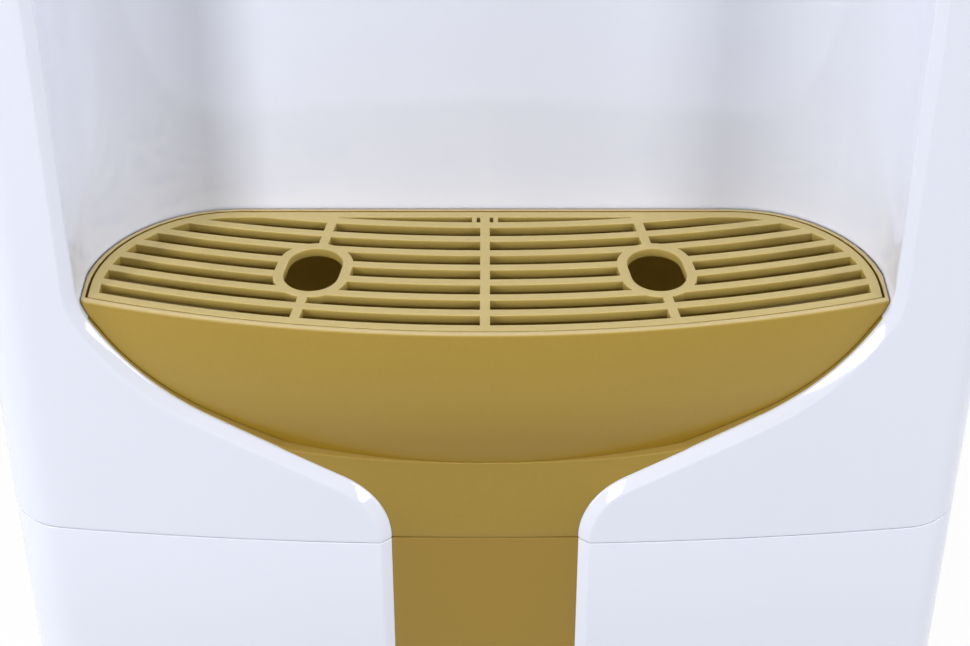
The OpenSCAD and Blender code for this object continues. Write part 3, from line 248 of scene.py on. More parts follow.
class GoldSettings(bpy.types.PropertyGroup):
    bowl: StringProperty(name="Bowl colour", description="Colour of the lacquered bowl", default="#A08433")
    grille: StringProperty(name="Grille colour", description="Colour of the slots", default="#A8914C")
    # The neck's colour is painted a shade deeper than the bowl's, as painted shade
    neck: StringProperty(name="Neck colour", description="Colour of the neck piece", default="#927931")
    strip: StringProperty(name="Strip colour", description="Colour of the strip", default="#8F7329")
    belly: FloatProperty(name="Belly", description="Swell of the bowl", default=3.4 * MM, unit="LENGTH")
    lean: FloatProperty(name="Lean", description="Lean of the neck's top", default=3.4 * MM, unit="LENGTH")
    edge: FloatProperty(name="Edge", description="Radius of grille edges", default=0.35 * MM, unit="LENGTH")


class StageSettings(bpy.types.PropertyGroup):
    lens: FloatProperty(name="Lens", description="Focal length", default=77.18, subtype="DISTANCE_CAMERA")
    pitch: FloatProperty(
        name="Pitch", description="Angle of looking down", default=math.radians(35.859), subtype="ANGLE"
    )
    key: FloatProperty(name="Key", description="Lamp power for a share of one", default=37.0, unit="POWER")
    ambient: FloatProperty(name="Ambient", description="Strength of the even light all round", default=0.07)
    facets: IntProperty(name="Facets", description="Sides of a turned piece", default=96)


def look(name, hue, rough, ior, cloud, grain, **more):
    """A finish, with the sizes of its patterns in millimetres.

    hue: sRGB colour, or the setting that holds it
    rough: lowest and highest roughness
    ior: refraction, or None for a metal
    cloud: size and strength of the colour's slow change
    grain: size and height of the fine relief
    stretch: the relief's scale along X, Y and Z
    cells: the relief is made of cells
    flake: contrast of the relief in the colour
    clear: weight and roughness of a topcoat
    depth: weight of the scatter below the skin
    tops, under: painted light: a paler colour painted on level tops, as if lit from above, and a deeper one
    painted on undersides, as if in shade
    """
    return dict(name=name, hue=hue, rough=rough, ior=ior, cloud=cloud, grain=grain, **more)


# Metallic lacquer on ABS: satin and warm, with a fine flake that is drawn at 1.4 mm so that it shows
LACQUER = dict(rough=(0.36, 0.46), ior=1.42, cloud=(60, 0.03), grain=(1.4, 0.006), flake=0.05)

# Finishes by material slot or coat
FINISHES = {
    # Injection-moulded ABS from a polished tool: glossy, with slight waves in its reflections
    "white_shell": look(
        "Glossy moulded ABS", "cooler_shell.colour", (0.05, 0.10), 1.53, (90, 0.012), (28, 0.05),
        stretch=(1, 1, 0.4),
    ),
    # Satin lacquer on the bowl, with painted light: its level tops are painted paler as a painted highlight,
    # and its undersides deeper as painted shade
    "gold_plastic": look(
        "Satin gold lacquer with painted light", "cooler_gold.bowl", **LACQUER, tops="#D2BD88", under="#96771E"
    ),
    # The same lacquer on the grille, with a painted highlight: the bars' level tops are painted pale, and the
    # slots' walls take the base colour
    "gold_grille": look("Gold lacquer with painted pale tops", "cooler_gold.grille", **LACQUER, tops="#D0BA7A"),
    # The same lacquer on the neck piece, painted a shade deeper as painted shade, with its level tops painted
    # paler as a painted highlight
    "gold_neck": look("Gold lacquer with painted shade", "cooler_gold.neck", **LACQUER, tops="#A98F48"),
    # Gold film on the flat strip: the same tone, duller and more even
    "gold_film": look(
        "Matt gold film", "cooler_gold.strip", (0.44, 0.52), 1.47, (70, 0.02), (1.1, 0.004), flake=0.03
    ),
    # Powder coat on steel sheet: an even satin white with a fine orange peel
    "white_steel": look("White powder coat", "#E2E5EF", (0.30, 0.40), 1.5, (120, 0.012), (2.6, 0.03)),
    # Zinc-plated steel sheet: bluish grey metal with faint spangle
    "zinc_steel": look(
        "Zinc-plated steel", "#B9BDC2", (0.30, 0.45), None, (40, 0.05), (9, 0.01), cells=True, flake=0.08
    ),
    # Drawn stainless steel: bright, brushed round the tank
    "stainless": look(
        "Brushed stainless steel", "#C6C7C8", (0.22, 0.38), None, (50, 0.04), (1.2, 0.01),
        stretch=(0.05, 0.05, 1), flake=0.06,
    ),
    # Textured polypropylene of the base: matt grey with a spark-eroded grain
    "base_plastic": look("Grained polypropylene", "#9A9DA2", (0.48, 0.62), 1.49, (80, 0.02), (1.8, 0.05)),
    # Moulded tap in ABS: clean white, less glossy than the shell
    "tap_plastic": look(
        "White tap ABS", "#E9EAEE", (0.14, 0.24), 1.53, (30, 0.012), (9, 0.02), clear=(0.2, 0.05)
    ),
    # Natural polypropylene: milky, waxy
    "clear_plastic": look(
        "Natural polypropylene", "#DADCDB", (0.28, 0.38), 1.49, (25, 0.03), (3, 0.02), depth=0.15
    ),
    # Diffusing acrylic of the indicator's lenses: milky and glossy
    "lens_plastic": look(
        "Diffusing acrylic", "#E6ECEF", (0.12, 0.2), 1.49, (6, 0.04), (0.9, 0.01), clear=(0.3, 0.05)
    ),
    # Pigmented ABS of the hot side's small parts: red, half gloss
    "red_plastic": look("Red ABS", "#B81F1C", (0.22, 0.34), 1.53, (12, 0.05), (1.5, 0.015)),
    # Pigmented ABS of the cold side's small parts: blue, half gloss
    "blue_plastic": look("Blue ABS", "#1B52A8", (0.22, 0.34), 1.53, (12, 0.05), (1.5, 0.015)),
    # Glass-filled nylon of sockets and covers: black, with a fine matt grain
    "black_plastic": look("Black nylon", "#232326", (0.42, 0.58), 1.53, (20, 0.08), (0.9, 0.02)),
    # Black stoved enamel on steel: half gloss, a little uneven
    "black_steel": look("Black stoved enamel", "#1D1D20", (0.28, 0.42), 1.52, (35, 0.10), (1.6, 0.02)),
    # Moulded rubber: matt, slightly dusty black
    "rubber": look("Moulded rubber", "#2B2B2B", (0.70, 0.85), 1.52, (10, 0.12), (1.2, 0.04)),
    # Silicone hose: milky white with a soft skin
    "silicone": look("Silicone hose", "#D8D8D4", (0.40, 0.50), 1.43, (15, 0.03), (2, 0.02), depth=0.2),
    # Drawn copper tube: warm metal, patchily tarnished by handling
    "copper": look(
        "Drawn copper", "#C07B57", (0.25, 0.42), None, (14, 0.16), (1.5, 0.01), stretch=(1, 1, 0.2)
    ),
    # Expanded polystyrene: white, pressed from beads of about 4 mm
    "foam": look("Expanded polystyrene", "#EDEDE9", (0.75, 0.9), 1.5, (30, 0.02), (4.2, 0.25), cells=True),
    # Closed-cell foam jacket: dark and matt, with small cells
    "jacket_foam": look(
        "Closed-cell foam", "#38383A", (0.85, 0.95), 1.5, (20, 0.08), (1.6, 0.15), cells=True
    ),
    # Solder-masked circuit board: green, half gloss
    "board": look("Solder mask", "#1F5A35", (0.25, 0.4), 1.55, (8, 0.1), (2.5, 0.02)),
}

# How far up a face looks where the painted highlight on level tops and the painted shade on undersides begin,
# and where they are full
PAINTED_LIGHT_TONES = {"tops": (0.45, 0.95), "under": (-0.2, -0.34)}
# Depth of the scatter below a milky skin
SCATTER = 2.0


def given(thing, **settings):
    """A thing with its settings."""
    for key, value in settings.items():
        setattr(thing, key, value)
    return thing


def add(tree, kind, output, inputs, **settings):
    """Adds a shader node and returns its output. An input that is an output is linked, others are set."""
    made = given(tree.nodes.new("ShaderNode" + kind), **settings)
    for key, value in inputs.items():
        if isinstance(value, tuple) and isinstance(value[0], bpy.types.Node):
            tree.links.new(value[0].outputs[value[1]], made.inputs[key])
        else:
            made.inputs[key].default_value = value
    return made, output


def bare(owner):
    """The emptied node tree of a material or of the surroundings."""
    owner.use_nodes = True
    owner.node_tree.nodes.clear()
    return owner.node_tree


def finish(slot):
    """The material of a slot or coat, made once."""
    spec = FINISHES[slot]
    if spec["name"] in bpy.data.materials:
        return bpy.data.materials[spec["name"]]
    made = bpy.data.materials.new(spec["name"])
    tree = bare(made)
    hue = spec["hue"]
    base = linear(hue if hue.startswith("#") else bpy.context.scene.path_resolve(hue))
    made.diffuse_color = base
    # Slow change of colour and roughness
    place = add(tree, "TexCoord", "Object", {})
    size, strength = spec["cloud"]
    cloud = add(tree, "TexNoise", "Fac", {"Vector": place, "Scale": 1 / (size * MM), "Detail": 3.0})
    low = [c * (1 - strength) for c in base[:3]] + [1.0]
    high = [min(1.0, c * (1 + strength)) for c in base[:3]] + [1.0]
    colour = add(tree, "Mix", 2, {0: cloud, 6: low, 7: high}, data_type="RGBA")
    lowest, highest = spec["rough"]
    worn = add(tree, "MapRange", "Result", {"Value": cloud, "To Min": lowest, "To Max": highest})
    # Fine relief
    size, height = spec["grain"]
    fine = add(tree, "Mapping", "Vector", {"Vector": place, "Scale": spec.get("stretch", (1, 1, 1))})
    grain = {"Vector": fine, "Scale": 1 / (size * MM)}
    if "cells" in spec:
        relief = add(tree, "TexVoronoi", "Distance", grain)
    else:
        relief = add(tree, "TexNoise", "Fac", {**grain, "Detail": 2.0})
    bump = add(tree, "Bump", "Normal", {"Height": relief, "Strength": 0.5, "Distance": height * MM})
    # Painted light: level tops painted paler, as if lit from above, and undersides painted deeper, as if in
    # shade
    for key, (start, end) in PAINTED_LIGHT_TONES.items():
        if key in spec:
            normal = add(tree, "NewGeometry", "Normal", {})
            upward = add(tree, "VectorMath", "Value", {0: normal, 1: (0, 0, 1)}, operation="DOT_PRODUCT")
            share = add(tree, "MapRange", "Result", {"Value": upward, "From Min": start, "From Max": end})
            colour = add(tree, "Mix", 2, {0: share, 6: colour, 7: linear(spec[key])}, data_type="RGBA")
    # Flake in the colour
    if "flake" in spec:
        dark = [1 - spec["flake"]] * 3 + [1.0]
        light = [1 + spec["flake"]] * 3 + [1.0]
        speck = add(tree, "Mix", 2, {0: relief, 6: dark, 7: light}, data_type="RGBA")
        colour = add(tree, "Mix", 2, {0: 1.0, 6: colour, 7: speck}, data_type="RGBA", blend_type="MULTIPLY")
    surface = {"Base Color": colour, "Roughness": worn, "Normal": bump}
    if spec["ior"]:
        surface["IOR"] = spec["ior"]
    else:
        surface["Metallic"] = 1.0
    surface["Subsurface Weight"] = spec.get("depth", 0.0)
    surface["Subsurface Scale"] = SCATTER * MM
    surface.update(zip(("Coat Weight", "Coat Roughness"), spec.get("clear", ())))
    skin = add(tree, "BsdfPrincipled", "BSDF", surface)
    add(tree, "OutputMaterial", None, {"Surface": skin})
    return made


def adopt(mesh, name, slot, body, *replaced, coat=None):
    """Makes a mesh a piece that rides on a body and replaces nodes, in its slot's finish or another coat."""
    piece = bpy.data.objects.new(name, mesh)
    bpy.context.scene.collection.objects.link(piece)
    mesh.materials.clear()
    mesh.materials.append(finish(coat or slot))
    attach(piece, body)
    if replaced:
        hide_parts(*replaced)


def clamp(value):
    """A value kept between 0 and 1."""
    return min(1.0, max(0.0, value))


def span(low, high, count):
    """Evenly spaced values from low to high."""
    return [low + (high - low) * i / (count - 1) for i in range(count)]


def between(start, end, shares):
    """Points at shares of the way from one point to another."""
    return [tuple(Vector(start).lerp(Vector(end), share)) for share in shares]


def arc(centre, radius, start, end, count):
    """Points on an arc, by its angles from the first axis."""
    x, y = centre
    return [(x + radius * math.cos(a), y + radius * math.sin(a)) for a in span(start, end, count)]


def quarter_round(radius, count):
    """Steps of a rounded edge from its face to its side: how far each is pulled in, and its depth."""
    return [(radius * (1 - math.sin(t)), radius * (1 - math.cos(t))) for t in span(0, QUARTER, count)]


def level(plan, z):
    """A plan's points at a height."""
    return [(x, y, z) for x, y in plan]


def shrink(loop, pull):
    """Moves a closed loop inwards along its normals."""
    area = sum(a[0] * b[1] - b[0] * a[1] for a, b in zip(loop, loop[1:] + loop[:1]))
    turn = 1 if area > 0 else -1
    out = []
    for i, p in enumerate(loop):
        here = Vector(p)
        first = (here - Vector(loop[i - 1])).normalized()
        second = (Vector(loop[(i + 1) % len(loop)]) - here).normalized()
        run = first + second
        n = Vector((-run.y, run.x)).normalized() * turn
        share = max(0.5, n.dot(Vector((-first.y, first.x)) * turn))
        out.append((p[0] + n.x * pull / share, p[1] + n.y * pull / share))
    return out


def soften(points, radius, steps=4, closed=False):
    """Rounds the corners of a line of points."""
    out = []
    count = len(points)
    for i, p in enumerate(points):
        if not closed and i in (0, count - 1):
            out.append(tuple(p))
            continue
        here = Vector(p)
        before = Vector(points[i - 1]) - here
        after = Vector(points[(i + 1) % count]) - here
        cut = min(radius, 0.48 * before.length, 0.48 * after.length)
        start = here + before.normalized() * cut
        end = here + after.normalized() * cut
        for t in span(0, 1, steps + 1):
            out.append(tuple(start * (1 - t) ** 2 + here * 2 * t * (1 - t) + end * t * t))
    return out


def pull_in(plan, pull):
    """Moves an open plan line inwards, to the left of its run from the return's end to the middle."""
    out = []
    for i, p in enumerate(plan):
        before = Vector(plan[max(0, i - 1)])
        after = Vector(plan[min(len(plan) - 1, i + 1)])
        run = (after - before).normalized()
        out.append((p[0] + run.y * pull, p[1] - run.x * pull))
    return out


class Skin:
    """Points and faces of one piece, in millimetres."""

    def __init__(self):
        self.points = []
        self.faces = []

    def sheet(self, rows, closed=False):
        """Quads between rows of equally many points; closed joins the ends of each row."""
        start = len(self.points)
        width = len(rows[0])
        for row in rows:
            self.points.extend(row)
        for r in range(len(rows) - 1):
            for c in range(width if closed else width - 1):
                a = start + r * width + c
                b = start + r * width + (c + 1) % width
                self.faces.append((a, b, b + width, a + width))

    def cap(self, loop):
        """One face over a loop of points."""
        start = len(self.points)
        self.points.extend(loop)
        self.faces.append(tuple(range(start, start + len(loop))))

    def mirror(self):
        """Adds the other half, across X = 0."""
        count = len(self.points)
        self.points += [(-x, y, z) for x, y, z in self.points]
        self.faces += [tuple(count + i for i in reversed(f)) for f in self.faces]

    def turn(self, profile, centre, steps, axis="Z", closed=False):
        """Turns a profile of radius and height round an upright axis, or one along Y."""
        rows = []
        for r, h in profile:
            ring = arc(centre, r, 0, 2 * math.pi, steps + 1)[:-1]
            rows.append([(u, v, h) if axis == "Z" else (u, h, v) for u, v in ring])
        if closed:
            rows.append(rows[0])
        self.sheet(rows, closed=True)

    def slab(self, loop, low, high, edge, axis="Z"):
        """A plate with rounded edges over a loop in the plane across an upright axis, or one along X."""
        turned = quarter_round(edge, 4)
        levels = [(pull, low + rise) for pull, rise in turned]
        levels += [(pull, high - drop) for pull, drop in reversed(turned)]
        rows = []
        for pull, h in levels:
            rows.append([(u, v, h) if axis == "Z" else (h, u, v) for u, v in shrink(loop, pull)])
        self.sheet(rows, closed=True)
        self.cap(rows[0])
        self.cap(rows[-1])

    def build(self, name, slot, body, *replaced, crease=38.0, coat=None, wall=0.0):
        """Makes the piece: welds its points, gives an open skin its wall and creases the sharp edges."""
        mesh = bpy.data.meshes.new(name)
        mesh.from_pydata([Vector(p) * MM for p in self.points], [], self.faces)
        form = bmesh.new()
        form.from_mesh(mesh)
        bmesh.ops.remove_doubles(form, verts=form.verts, dist=WELD)
        bmesh.ops.dissolve_degenerate(form, edges=form.edges, dist=WELD)
        bmesh.ops.recalc_face_normals(form, faces=form.faces)
        if wall:
            bmesh.ops.solidify(form, geom=form.faces[:], thickness=wall * MM)
            bmesh.ops.dissolve_degenerate(form, edges=form.edges, dist=WELD)
            bmesh.ops.recalc_face_normals(form, faces=form.faces)
        form.to_mesh(mesh)
        form.free()
        mesh.shade_smooth()
        mesh.set_sharp_from_angle(angle=math.radians(crease))
        adopt(mesh, name, slot, body, *replaced, coat=coat)


def bow(x, inset=0.0):
    """Y of the bowed front at X."""
    return BOW_CY - math.sqrt((BOW_R - inset) ** 2 - x * x)


def corner_line(inset=0.0):
    """Right corner and side return in plan, from the bow to the return's end."""
    turn = arc((CORNER_X, CORNER_Y), CORNER_R - inset, MEET_A - QUARTER, 0, CORNER_POINTS)
    return turn + [(HALF_W - inset, y) for y in span(CORNER_Y, RETURN_Y, 5)[1:]]


def front_line(start_x):
    """Plan of the right front from start_x on the bow to the return's end, closer spaced near its start."""
    width = MEET_X - start_x
    steps = [0.0, min(0.5, 0.1 * width)] + [width * t**1.5 for t in span(0, 1, 15)[2:]]
    return [(start_x + d, bow(start_x + d)) for d in steps] + corner_line()[1:]


def goblet_half(z, inset):
    """Half width of the opening, or of a line inside it, at a height from the rim."""
    cup = CUP_R - inset
    neck = NECK_R + inset
    blend = BLEND_R - inset
    if z >= BLEND_Z:
        return ALCOVE_HALF - inset
    if z >= BLEND_Z - blend * math.sin(BLEND_A):
        return BLEND_X + math.sqrt(blend**2 - (z - BLEND_Z) ** 2)
    cup_end = (CUP_C[0] + cup * math.cos(SLOPE), CUP_C[1] - cup * math.sin(SLOPE))
    neck_end = NECK_C[1] + neck * math.sin(SLOPE)
    if z >= cup_end[1]:
        return CUP_C[0] + math.sqrt(cup**2 - (z - CUP_C[1]) ** 2)
    if z >= neck_end:
        return cup_end[0] - (cup_end[1] - z) * math.tan(SLOPE)
    if z >= NECK_C[1]:
        return NECK_C[0] - math.sqrt(neck**2 - (z - NECK_C[1]) ** 2)
    return STEM_HALF - inset


def opening_line(top_r):
    """Right half of the opening from the seam to its top: X, Z from the rim, and the slope of its normal."""
    top = CEILING_Z - RIM_Z
    turn_x = ALCOVE_HALF - top_r
    turn_z = top - top_r
    line = []
    for a in span(0, SLOPE, 22):
        line.append((NECK_C[0] - NECK_R * math.cos(a), NECK_C[1] + NECK_R * math.sin(a), a))
    cup = []
    for a in span(SLOPE, BLEND_A, 24):
        cup.append((CUP_C[0] + CUP_R * math.cos(a), CUP_C[1] - CUP_R * math.sin(a), a))
    line += [(*p, SLOPE) for p in between(line[-1][:2], cup[0][:2], span(0, 1, 14)[1:-1])]
    line += cup
    for a in span(BLEND_A, 0, 10)[1:]:
        line.append((BLEND_X + BLEND_R * math.cos(a), BLEND_Z - BLEND_R * math.sin(a), a))
    line += [(ALCOVE_HALF, z, 0.0) for z in span(line[-1][1], turn_z, 12)[1:]]
    for a in span(0, QUARTER, 9)[1:]:
        line.append((turn_x + top_r * math.cos(a), turn_z + top_r * math.sin(a), -a))
    return line


def lip_section(lip):
    """Section of the lip, away from the opening and back from the front: a flat bevel with rounded edges."""
    back = LIP_DEPTH * lip
    return soften([(lip + LIP_FLAT, 0), (lip, 0), (0, back), (0, back + LIP_FLAT)], LIP_ROUND, 5)


def lip_row(section, x, z, slope):
    """The lip at a point of the opening, from the front's face to the opening's wall."""
    row = []
    for away, back in section:
        u = x + math.cos(slope) * away
        v = z - math.sin(slope) * away
        row.append((u, bow(u) + back, RIM_Z + v))
    return row


def beaded(plan, bead, z_start, z_end):
    """Rounds a level edge: rows over a plan that curl back from z_start to z_end."""
    rows = []
    for t in span(0, QUARTER, 5):
        z = z_start + (z_end - z_start) * math.sin(t)
        rows.append(level(pull_in(plan, bead * (1 - math.cos(t))), z))
    return rows


def alcove_row(inset, z, lip_deep):
    """Half of a level section of the alcove, from the lip round to the middle of its back."""
    x = ALCOVE_HALF - inset
    r = ALCOVE_R - inset
    cx = ALCOVE_HALF - ALCOVE_R
    cy = ALCOVE_BACK_Y - ALCOVE_R
    path = [(x, y) for y in span(bow(x) + lip_deep, cy, ALCOVE_SIDE_POINTS)[:-1]]
    path += arc((cx, cy), r, 0, QUARTER, 17)
    path += [(u, cy + r) for u in span(cx, 0, 9)[1:]]
    return level(path, RIM_Z + z)


class COOLER_OT_front_shell(bpy.types.Operator):
    """Upper front with the alcove and the goblet opening, and the lower front panel"""

    bl_idname = "cooler.front_shell"
    bl_label = "Front shell"

    def execute(self, context):
        made = context.scene.cooler_shell
        bead = made.bead / MM
        seam = made.seam / MM
        section = lip_section(made.lip / MM)
        lip_deep = section[-1][1]
        line = opening_line(made.alcove_corner / MM)
        # Front face with its lip, in level rows from the return's end to the opening
        lips = [lip_row(section, *p) for p in line]
        rows = []
        for lip in lips:
            x, _, z = lip[0]
            rows.append(level(reversed(front_line(x)), z) + lip[1:])
        skin = Skin()
        skin.sheet(rows)
        # Goblet's wall, back to the neck piece
        blended = next(i for i, p in enumerate(line) if p[1] > BLEND_Z - NEAR)
        walls = []
        for lip in lips[: blended + 1]:
            x, y, z = lip[-1]
            deep = STEM_DEEP + CUP_GAIN * clamp((z - RIM_Z - CUP_FROM) / CUP_RISE)
            walls.append([(x, y + d, z) for d in (0.0, STEP_DEEP, deep)])
        skin.sheet(walls)
        # Seam edge
        first = [p[:2] for p in rows[0] + walls[0][1:]]
        skin.sheet(beaded(first, bead, rows[0][0][2], SEAM_Z + seam))
        # Alcove: walls, back and the round into the ceiling
        pocket = [alcove_row(0, z, lip_deep) for z in POCKET_LEVELS]
        upper = [alcove_row(ALCOVE_HALF - p[0], p[1], lip_deep) for p in line[blended:]]
        skin.sheet(pocket + upper)
        # Ceiling and its lip
        last = upper[-1][ALCOVE_SIDE_POINTS - 1 :]
        tops = [lip_row(section, p[0], CEILING_Z - RIM_Z, -QUARTER) for p in last]
        skin.sheet(tops)
        skin.sheet([between(t[-1], b, span(0, 1, 4)) for t, b in zip(tops, last)])
        # Hood
        hood = [(t[0][0], bow(t[0][0])) for t in reversed(tops)]
        hood += [p[:2] for p in reversed(rows[-1][: -len(section)])]
        hood_edge = COVER_TOP - bead - seam
        skin.sheet([level(hood, z) for z in span(tops[0][0][2], hood_edge, 5)])
        skin.sheet(beaded(hood[::-1], bead, hood_edge, COVER_TOP - seam))
        skin.mirror()
        skin.cap(pocket[0] + [(-x, y, z) for x, y, z in reversed(pocket[0][:-1])])
        skin.build("front_shell", "white_shell", "cabinet", "front_cover", wall=WALL)

        # Lower panel: one section from the return to the strip's slot, drawn upwards
        lower = Skin()
        plan = [p[:2] for p in rows[0] + walls[0][1:2]]
        panel_top = SEAM_Z - seam - bead
        panel_low = BASE_TOP + bead + seam
        # Its lower edge turns in and closes on the base
        sill = level(pull_in(plan, SILL), BASE_TOP + SILL_GAP)
        lower.sheet([sill] + beaded(plan, bead, panel_low, BASE_TOP + seam)[::-1])
        lower.sheet([level(plan, z) for z in span(panel_low, panel_top, 12)])
        lower.sheet(beaded(plan, bead, panel_top, SEAM_Z - seam))
        # Channel behind the strip
        channel = [(CHANNEL_HALF, bow(CHANNEL_HALF) + WALL), (CHANNEL_HALF, CHANNEL_Y), (0, CHANNEL_Y)]
        channel = soften(channel, CHANNEL_ROUND)
        lower.sheet([level(channel, z) for z in span(panel_low, panel_top, 6)])
        lower.mirror()
        lower.build("lower_panel", "white_shell", "cabinet", "lower_front_panel", wall=WALL)
        return {"FINISHED"}


def bowl_front(x, z, belly):
    """Y of the bowl's leaning, swelling front at X, Z from the rim."""
    big = TRAY_R / math.cos(TRAY_LEAN)
    back = big - math.sqrt(big * big - x * x)
    t = clamp(-z / BOWL_H)
    swell = belly * 4 * t * (1 - t)
    return TRAY_FRONT_Y + back / math.cos(TRAY_LEAN) - z * math.tan(TRAY_LEAN) - swell


def bowl_inset(z):
    """How far the bowl's edge stays inside the opening: more and more below the rim."""
    t = clamp((RIM_LOW - z) / GAP_RANGE)
    return RIM_GAP + (BOWL_GAP - RIM_GAP) * t * t * (3 - 2 * t)


def keel_z(x, inset):
    """Z of the bowl's round keel at X, from the rim."""
    return KEEL_CZ - math.sqrt((KEEL_R - inset) ** 2 - x * x)


def tray_back(x, inset):
    """Y of the tray's round back at X."""
    r = TRAY_CORNER_R - inset
    out = max(0.0, min(abs(x) - TRAY_HALF + TRAY_CORNER_R, r))
    return TRAY_BACK_Y - TRAY_CORNER_R + math.sqrt(r * r - out * out)


def tray_loop(half, z, inset, belly):
    """Closed level section of the tray: front with rounded ends, right side, back, left side."""
    half -= inset
    xs = [half * math.sin(a) for a in span(-QUARTER, QUARTER, 41)]
    front = [(x, bowl_front(x, z, belly) + inset, RIM_Z + z) for x in xs]
    back = [(x, max(tray_back(x, inset), front[-1][1] + NEAR), RIM_Z + z) for x in reversed(xs)]
    right = between(front[-1], back[0], (0.33, 0.67))
    left = between(back[-1], front[0], (0.33, 0.67))
    turn_right = soften([front[-3], front[-1], right[0]], BOWL_EDGE)[1:-1]
    turn_left = soften([left[-1], front[0], front[2]], BOWL_EDGE)[1:-1]
    return turn_left + front[2:-2] + turn_right + right + back + left


def bowl_sections(inset, belly):
    """Sections of the bowl from its rim's underside down to the keel."""
    levels = []
    z = RIM_LOW
    while goblet_half(z, bowl_inset(z) + inset) < math.sqrt((KEEL_R - inset) ** 2 - (KEEL_CZ - z) ** 2):
        levels.append((goblet_half(z, bowl_inset(z) + inset), z))
        z -= SECTION_STEP
    edge_x = levels[-1][0]
    while edge_x > 0 and keel_z(edge_x, inset) > z + SECTION_STEP:
        edge_x -= 0.05
    levels += [(x, keel_z(x, inset)) for x in span(edge_x, 0.0, 24)]
    return [tray_loop(x + inset, z, inset, belly) for x, z in levels]


class COOLER_OT_drip_tray(bpy.types.Operator):
    """Drip tray's bowl, with its rim, ledge and feet"""

    bl_idname = "cooler.drip_tray"
    bl_label = "Drip tray"

    def execute(self, context):
        belly = context.scene.cooler_gold.belly / MM

        def rim_row(z, pull):
            """The rim's outside at a height."""
            return tray_loop(min(TRAY_HALF, goblet_half(z, RIM_GAP)), z, pull, belly)

        skin = Skin()
        rim = [tray_loop(TRAY_HALF, 0.0, RIM_WIDE, 0)]
        rim += [rim_row(-drop, pull) for pull, drop in quarter_round(RIM_ROUND, 5)]
        rim += [rim_row(z, 0) for z in span(RIM_FACE, RIM_LOW, 5)]
        skin.sheet(rim + bowl_sections(0.0, belly), closed=True)
        ledge = ((RIM_WIDE, 0.0), (RIM_WIDE, LEDGE_Z), (LEDGE_WIDE, LEDGE_Z), (LEDGE_WIDE, RIM_LOW))
        seat = [tray_loop(TRAY_HALF, z, pull, 0) for pull, z in ledge]
        skin.sheet(seat + bowl_sections(BOWL_WALL, belly), closed=True)
        for side in (-1, 1):
            low_x = FOOT_X * side - FOOT_HALF
            high_x = FOOT_X * side + FOOT_HALF
            foot = [(low_x, FOOT_FRONT_Y), (high_x, FOOT_FRONT_Y)]
            foot += [(high_x, FOOT_BACK_Y), (low_x, FOOT_BACK_Y)]
            skin.slab(soften(foot, FOOT_R, closed=True), POCKET_Z, POCKET_Z + FOOT_H, FOOT_EDGE)
        skin.build("drip_bowl", "gold_plastic", "tray", "drip_tray")
        return {"FINISHED"}


class COOLER_OT_neck(bpy.types.Operator):
    """Neck piece below the bowl, with the two arms that line the opening"""

    bl_idname = "cooler.neck"
    bl_label = "Neck piece"

    def execute(self, context):
        lean = context.scene.cooler_gold.lean / MM

        def inner_half(z):
            """Half width of the room for the bowl."""
            room = (KEEL_R + ROOM_GAP) ** 2 - (KEEL_CZ - z) ** 2
            if room <= 0:
                return 0.0
            return max(0.0, min(goblet_half(z, bowl_inset(z) - ROOM_GAP), math.sqrt(room)))

        def face(x, z):
            """Y of the piece's front: upright at the seam, leaning back and rounded over towards the bowl."""
            t = clamp((z - NECK_LOW) / (-BOWL_H - NECK_LOW))
            middle = max(0.0, 1 - (x / goblet_half(z, NECK_GAP)) ** 2)
            inner_x = inner_half(z)
            beside = (x - inner_x) * math.cos(SLOPE) if inner_x > ARM_FROM_X else NECK_LIP
            below = math.hypot(x, z - KEEL_CZ) - KEEL_R - ROOM_GAP
            away = clamp(min(below, beside) / NECK_LIP)
            rounded = NECK_LIP * (1 - math.sqrt(1 - (1 - away) ** 2))
            return bow(x) + NECK_STEP + lean * t * t * (2.1 - 1.1 * t) * middle + rounded

        # Heights of the rows: up the neck, closer together below the bowl, along the keel and up the arms
        zs = [NECK_LOW + NECK_BEAD] + span(NECK_LOW + 2, -BOWL_H - 1.3, 20)
        zs += [-BOWL_H - ROOM_GAP - d for d in (0.8, 0.5, 0.3, 0.1)]
        room_from = len(zs)
        zs += [keel_z(x, -ROOM_GAP) for x in (0, 2, 3.5, 5.5, 8, 11, *range(15, 76, 4))]
        zs += span(zs[-1] + 0.8, ARM_TOP, 36)
        front = []
        back = []
        for z in zs:
            inner_x = inner_half(z)
            wide = goblet_half(z, NECK_GAP) - inner_x
            start = min(1.0, 0.25 * wide)
            xs = [inner_x + start * t for t in (0, 0.1, 0.25, 0.5)]
            rest = (0, 0.12, 0.3, 0.5, 0.7, 0.85, 0.94, 0.98, 1)
            xs += [inner_x + start + (wide - start) * t for t in rest]
            front.append([(x, face(x, z), RIM_Z + z) for x in xs])
            back.append([(x, bow(x) + NECK_STEP + NECK_THICK, RIM_Z + z) for x in xs])
        skin = Skin()
        skin.sheet([[f[0], b[0]] for f, b in zip(front[room_from:], back[room_from:])])
        # Foot, rounded in two steps down to the seam
        for step, drop in ((0.3, 0.7), (1.0, 1.0)):
            z = RIM_Z + zs[0] - NECK_BEAD * drop
            front.insert(0, [(x, face(x, zs[0]) + NECK_BEAD * step, z) for x, _, _ in front[0]])
            back.insert(0, [(x, y, z) for x, y, _ in back[0]])
        skin.sheet(front)
        skin.sheet(back)
        skin.sheet([[f[-1], b[-1]] for f, b in zip(front, back)])
        skin.sheet([front[0], back[0]])
        skin.sheet([front[-1], back[-1]])
        skin.mirror()
        skin.build("neck_piece", "gold_plastic", "cabinet", "tray_cradle", crease=50, coat="gold_neck")
        return {"FINISHED"}


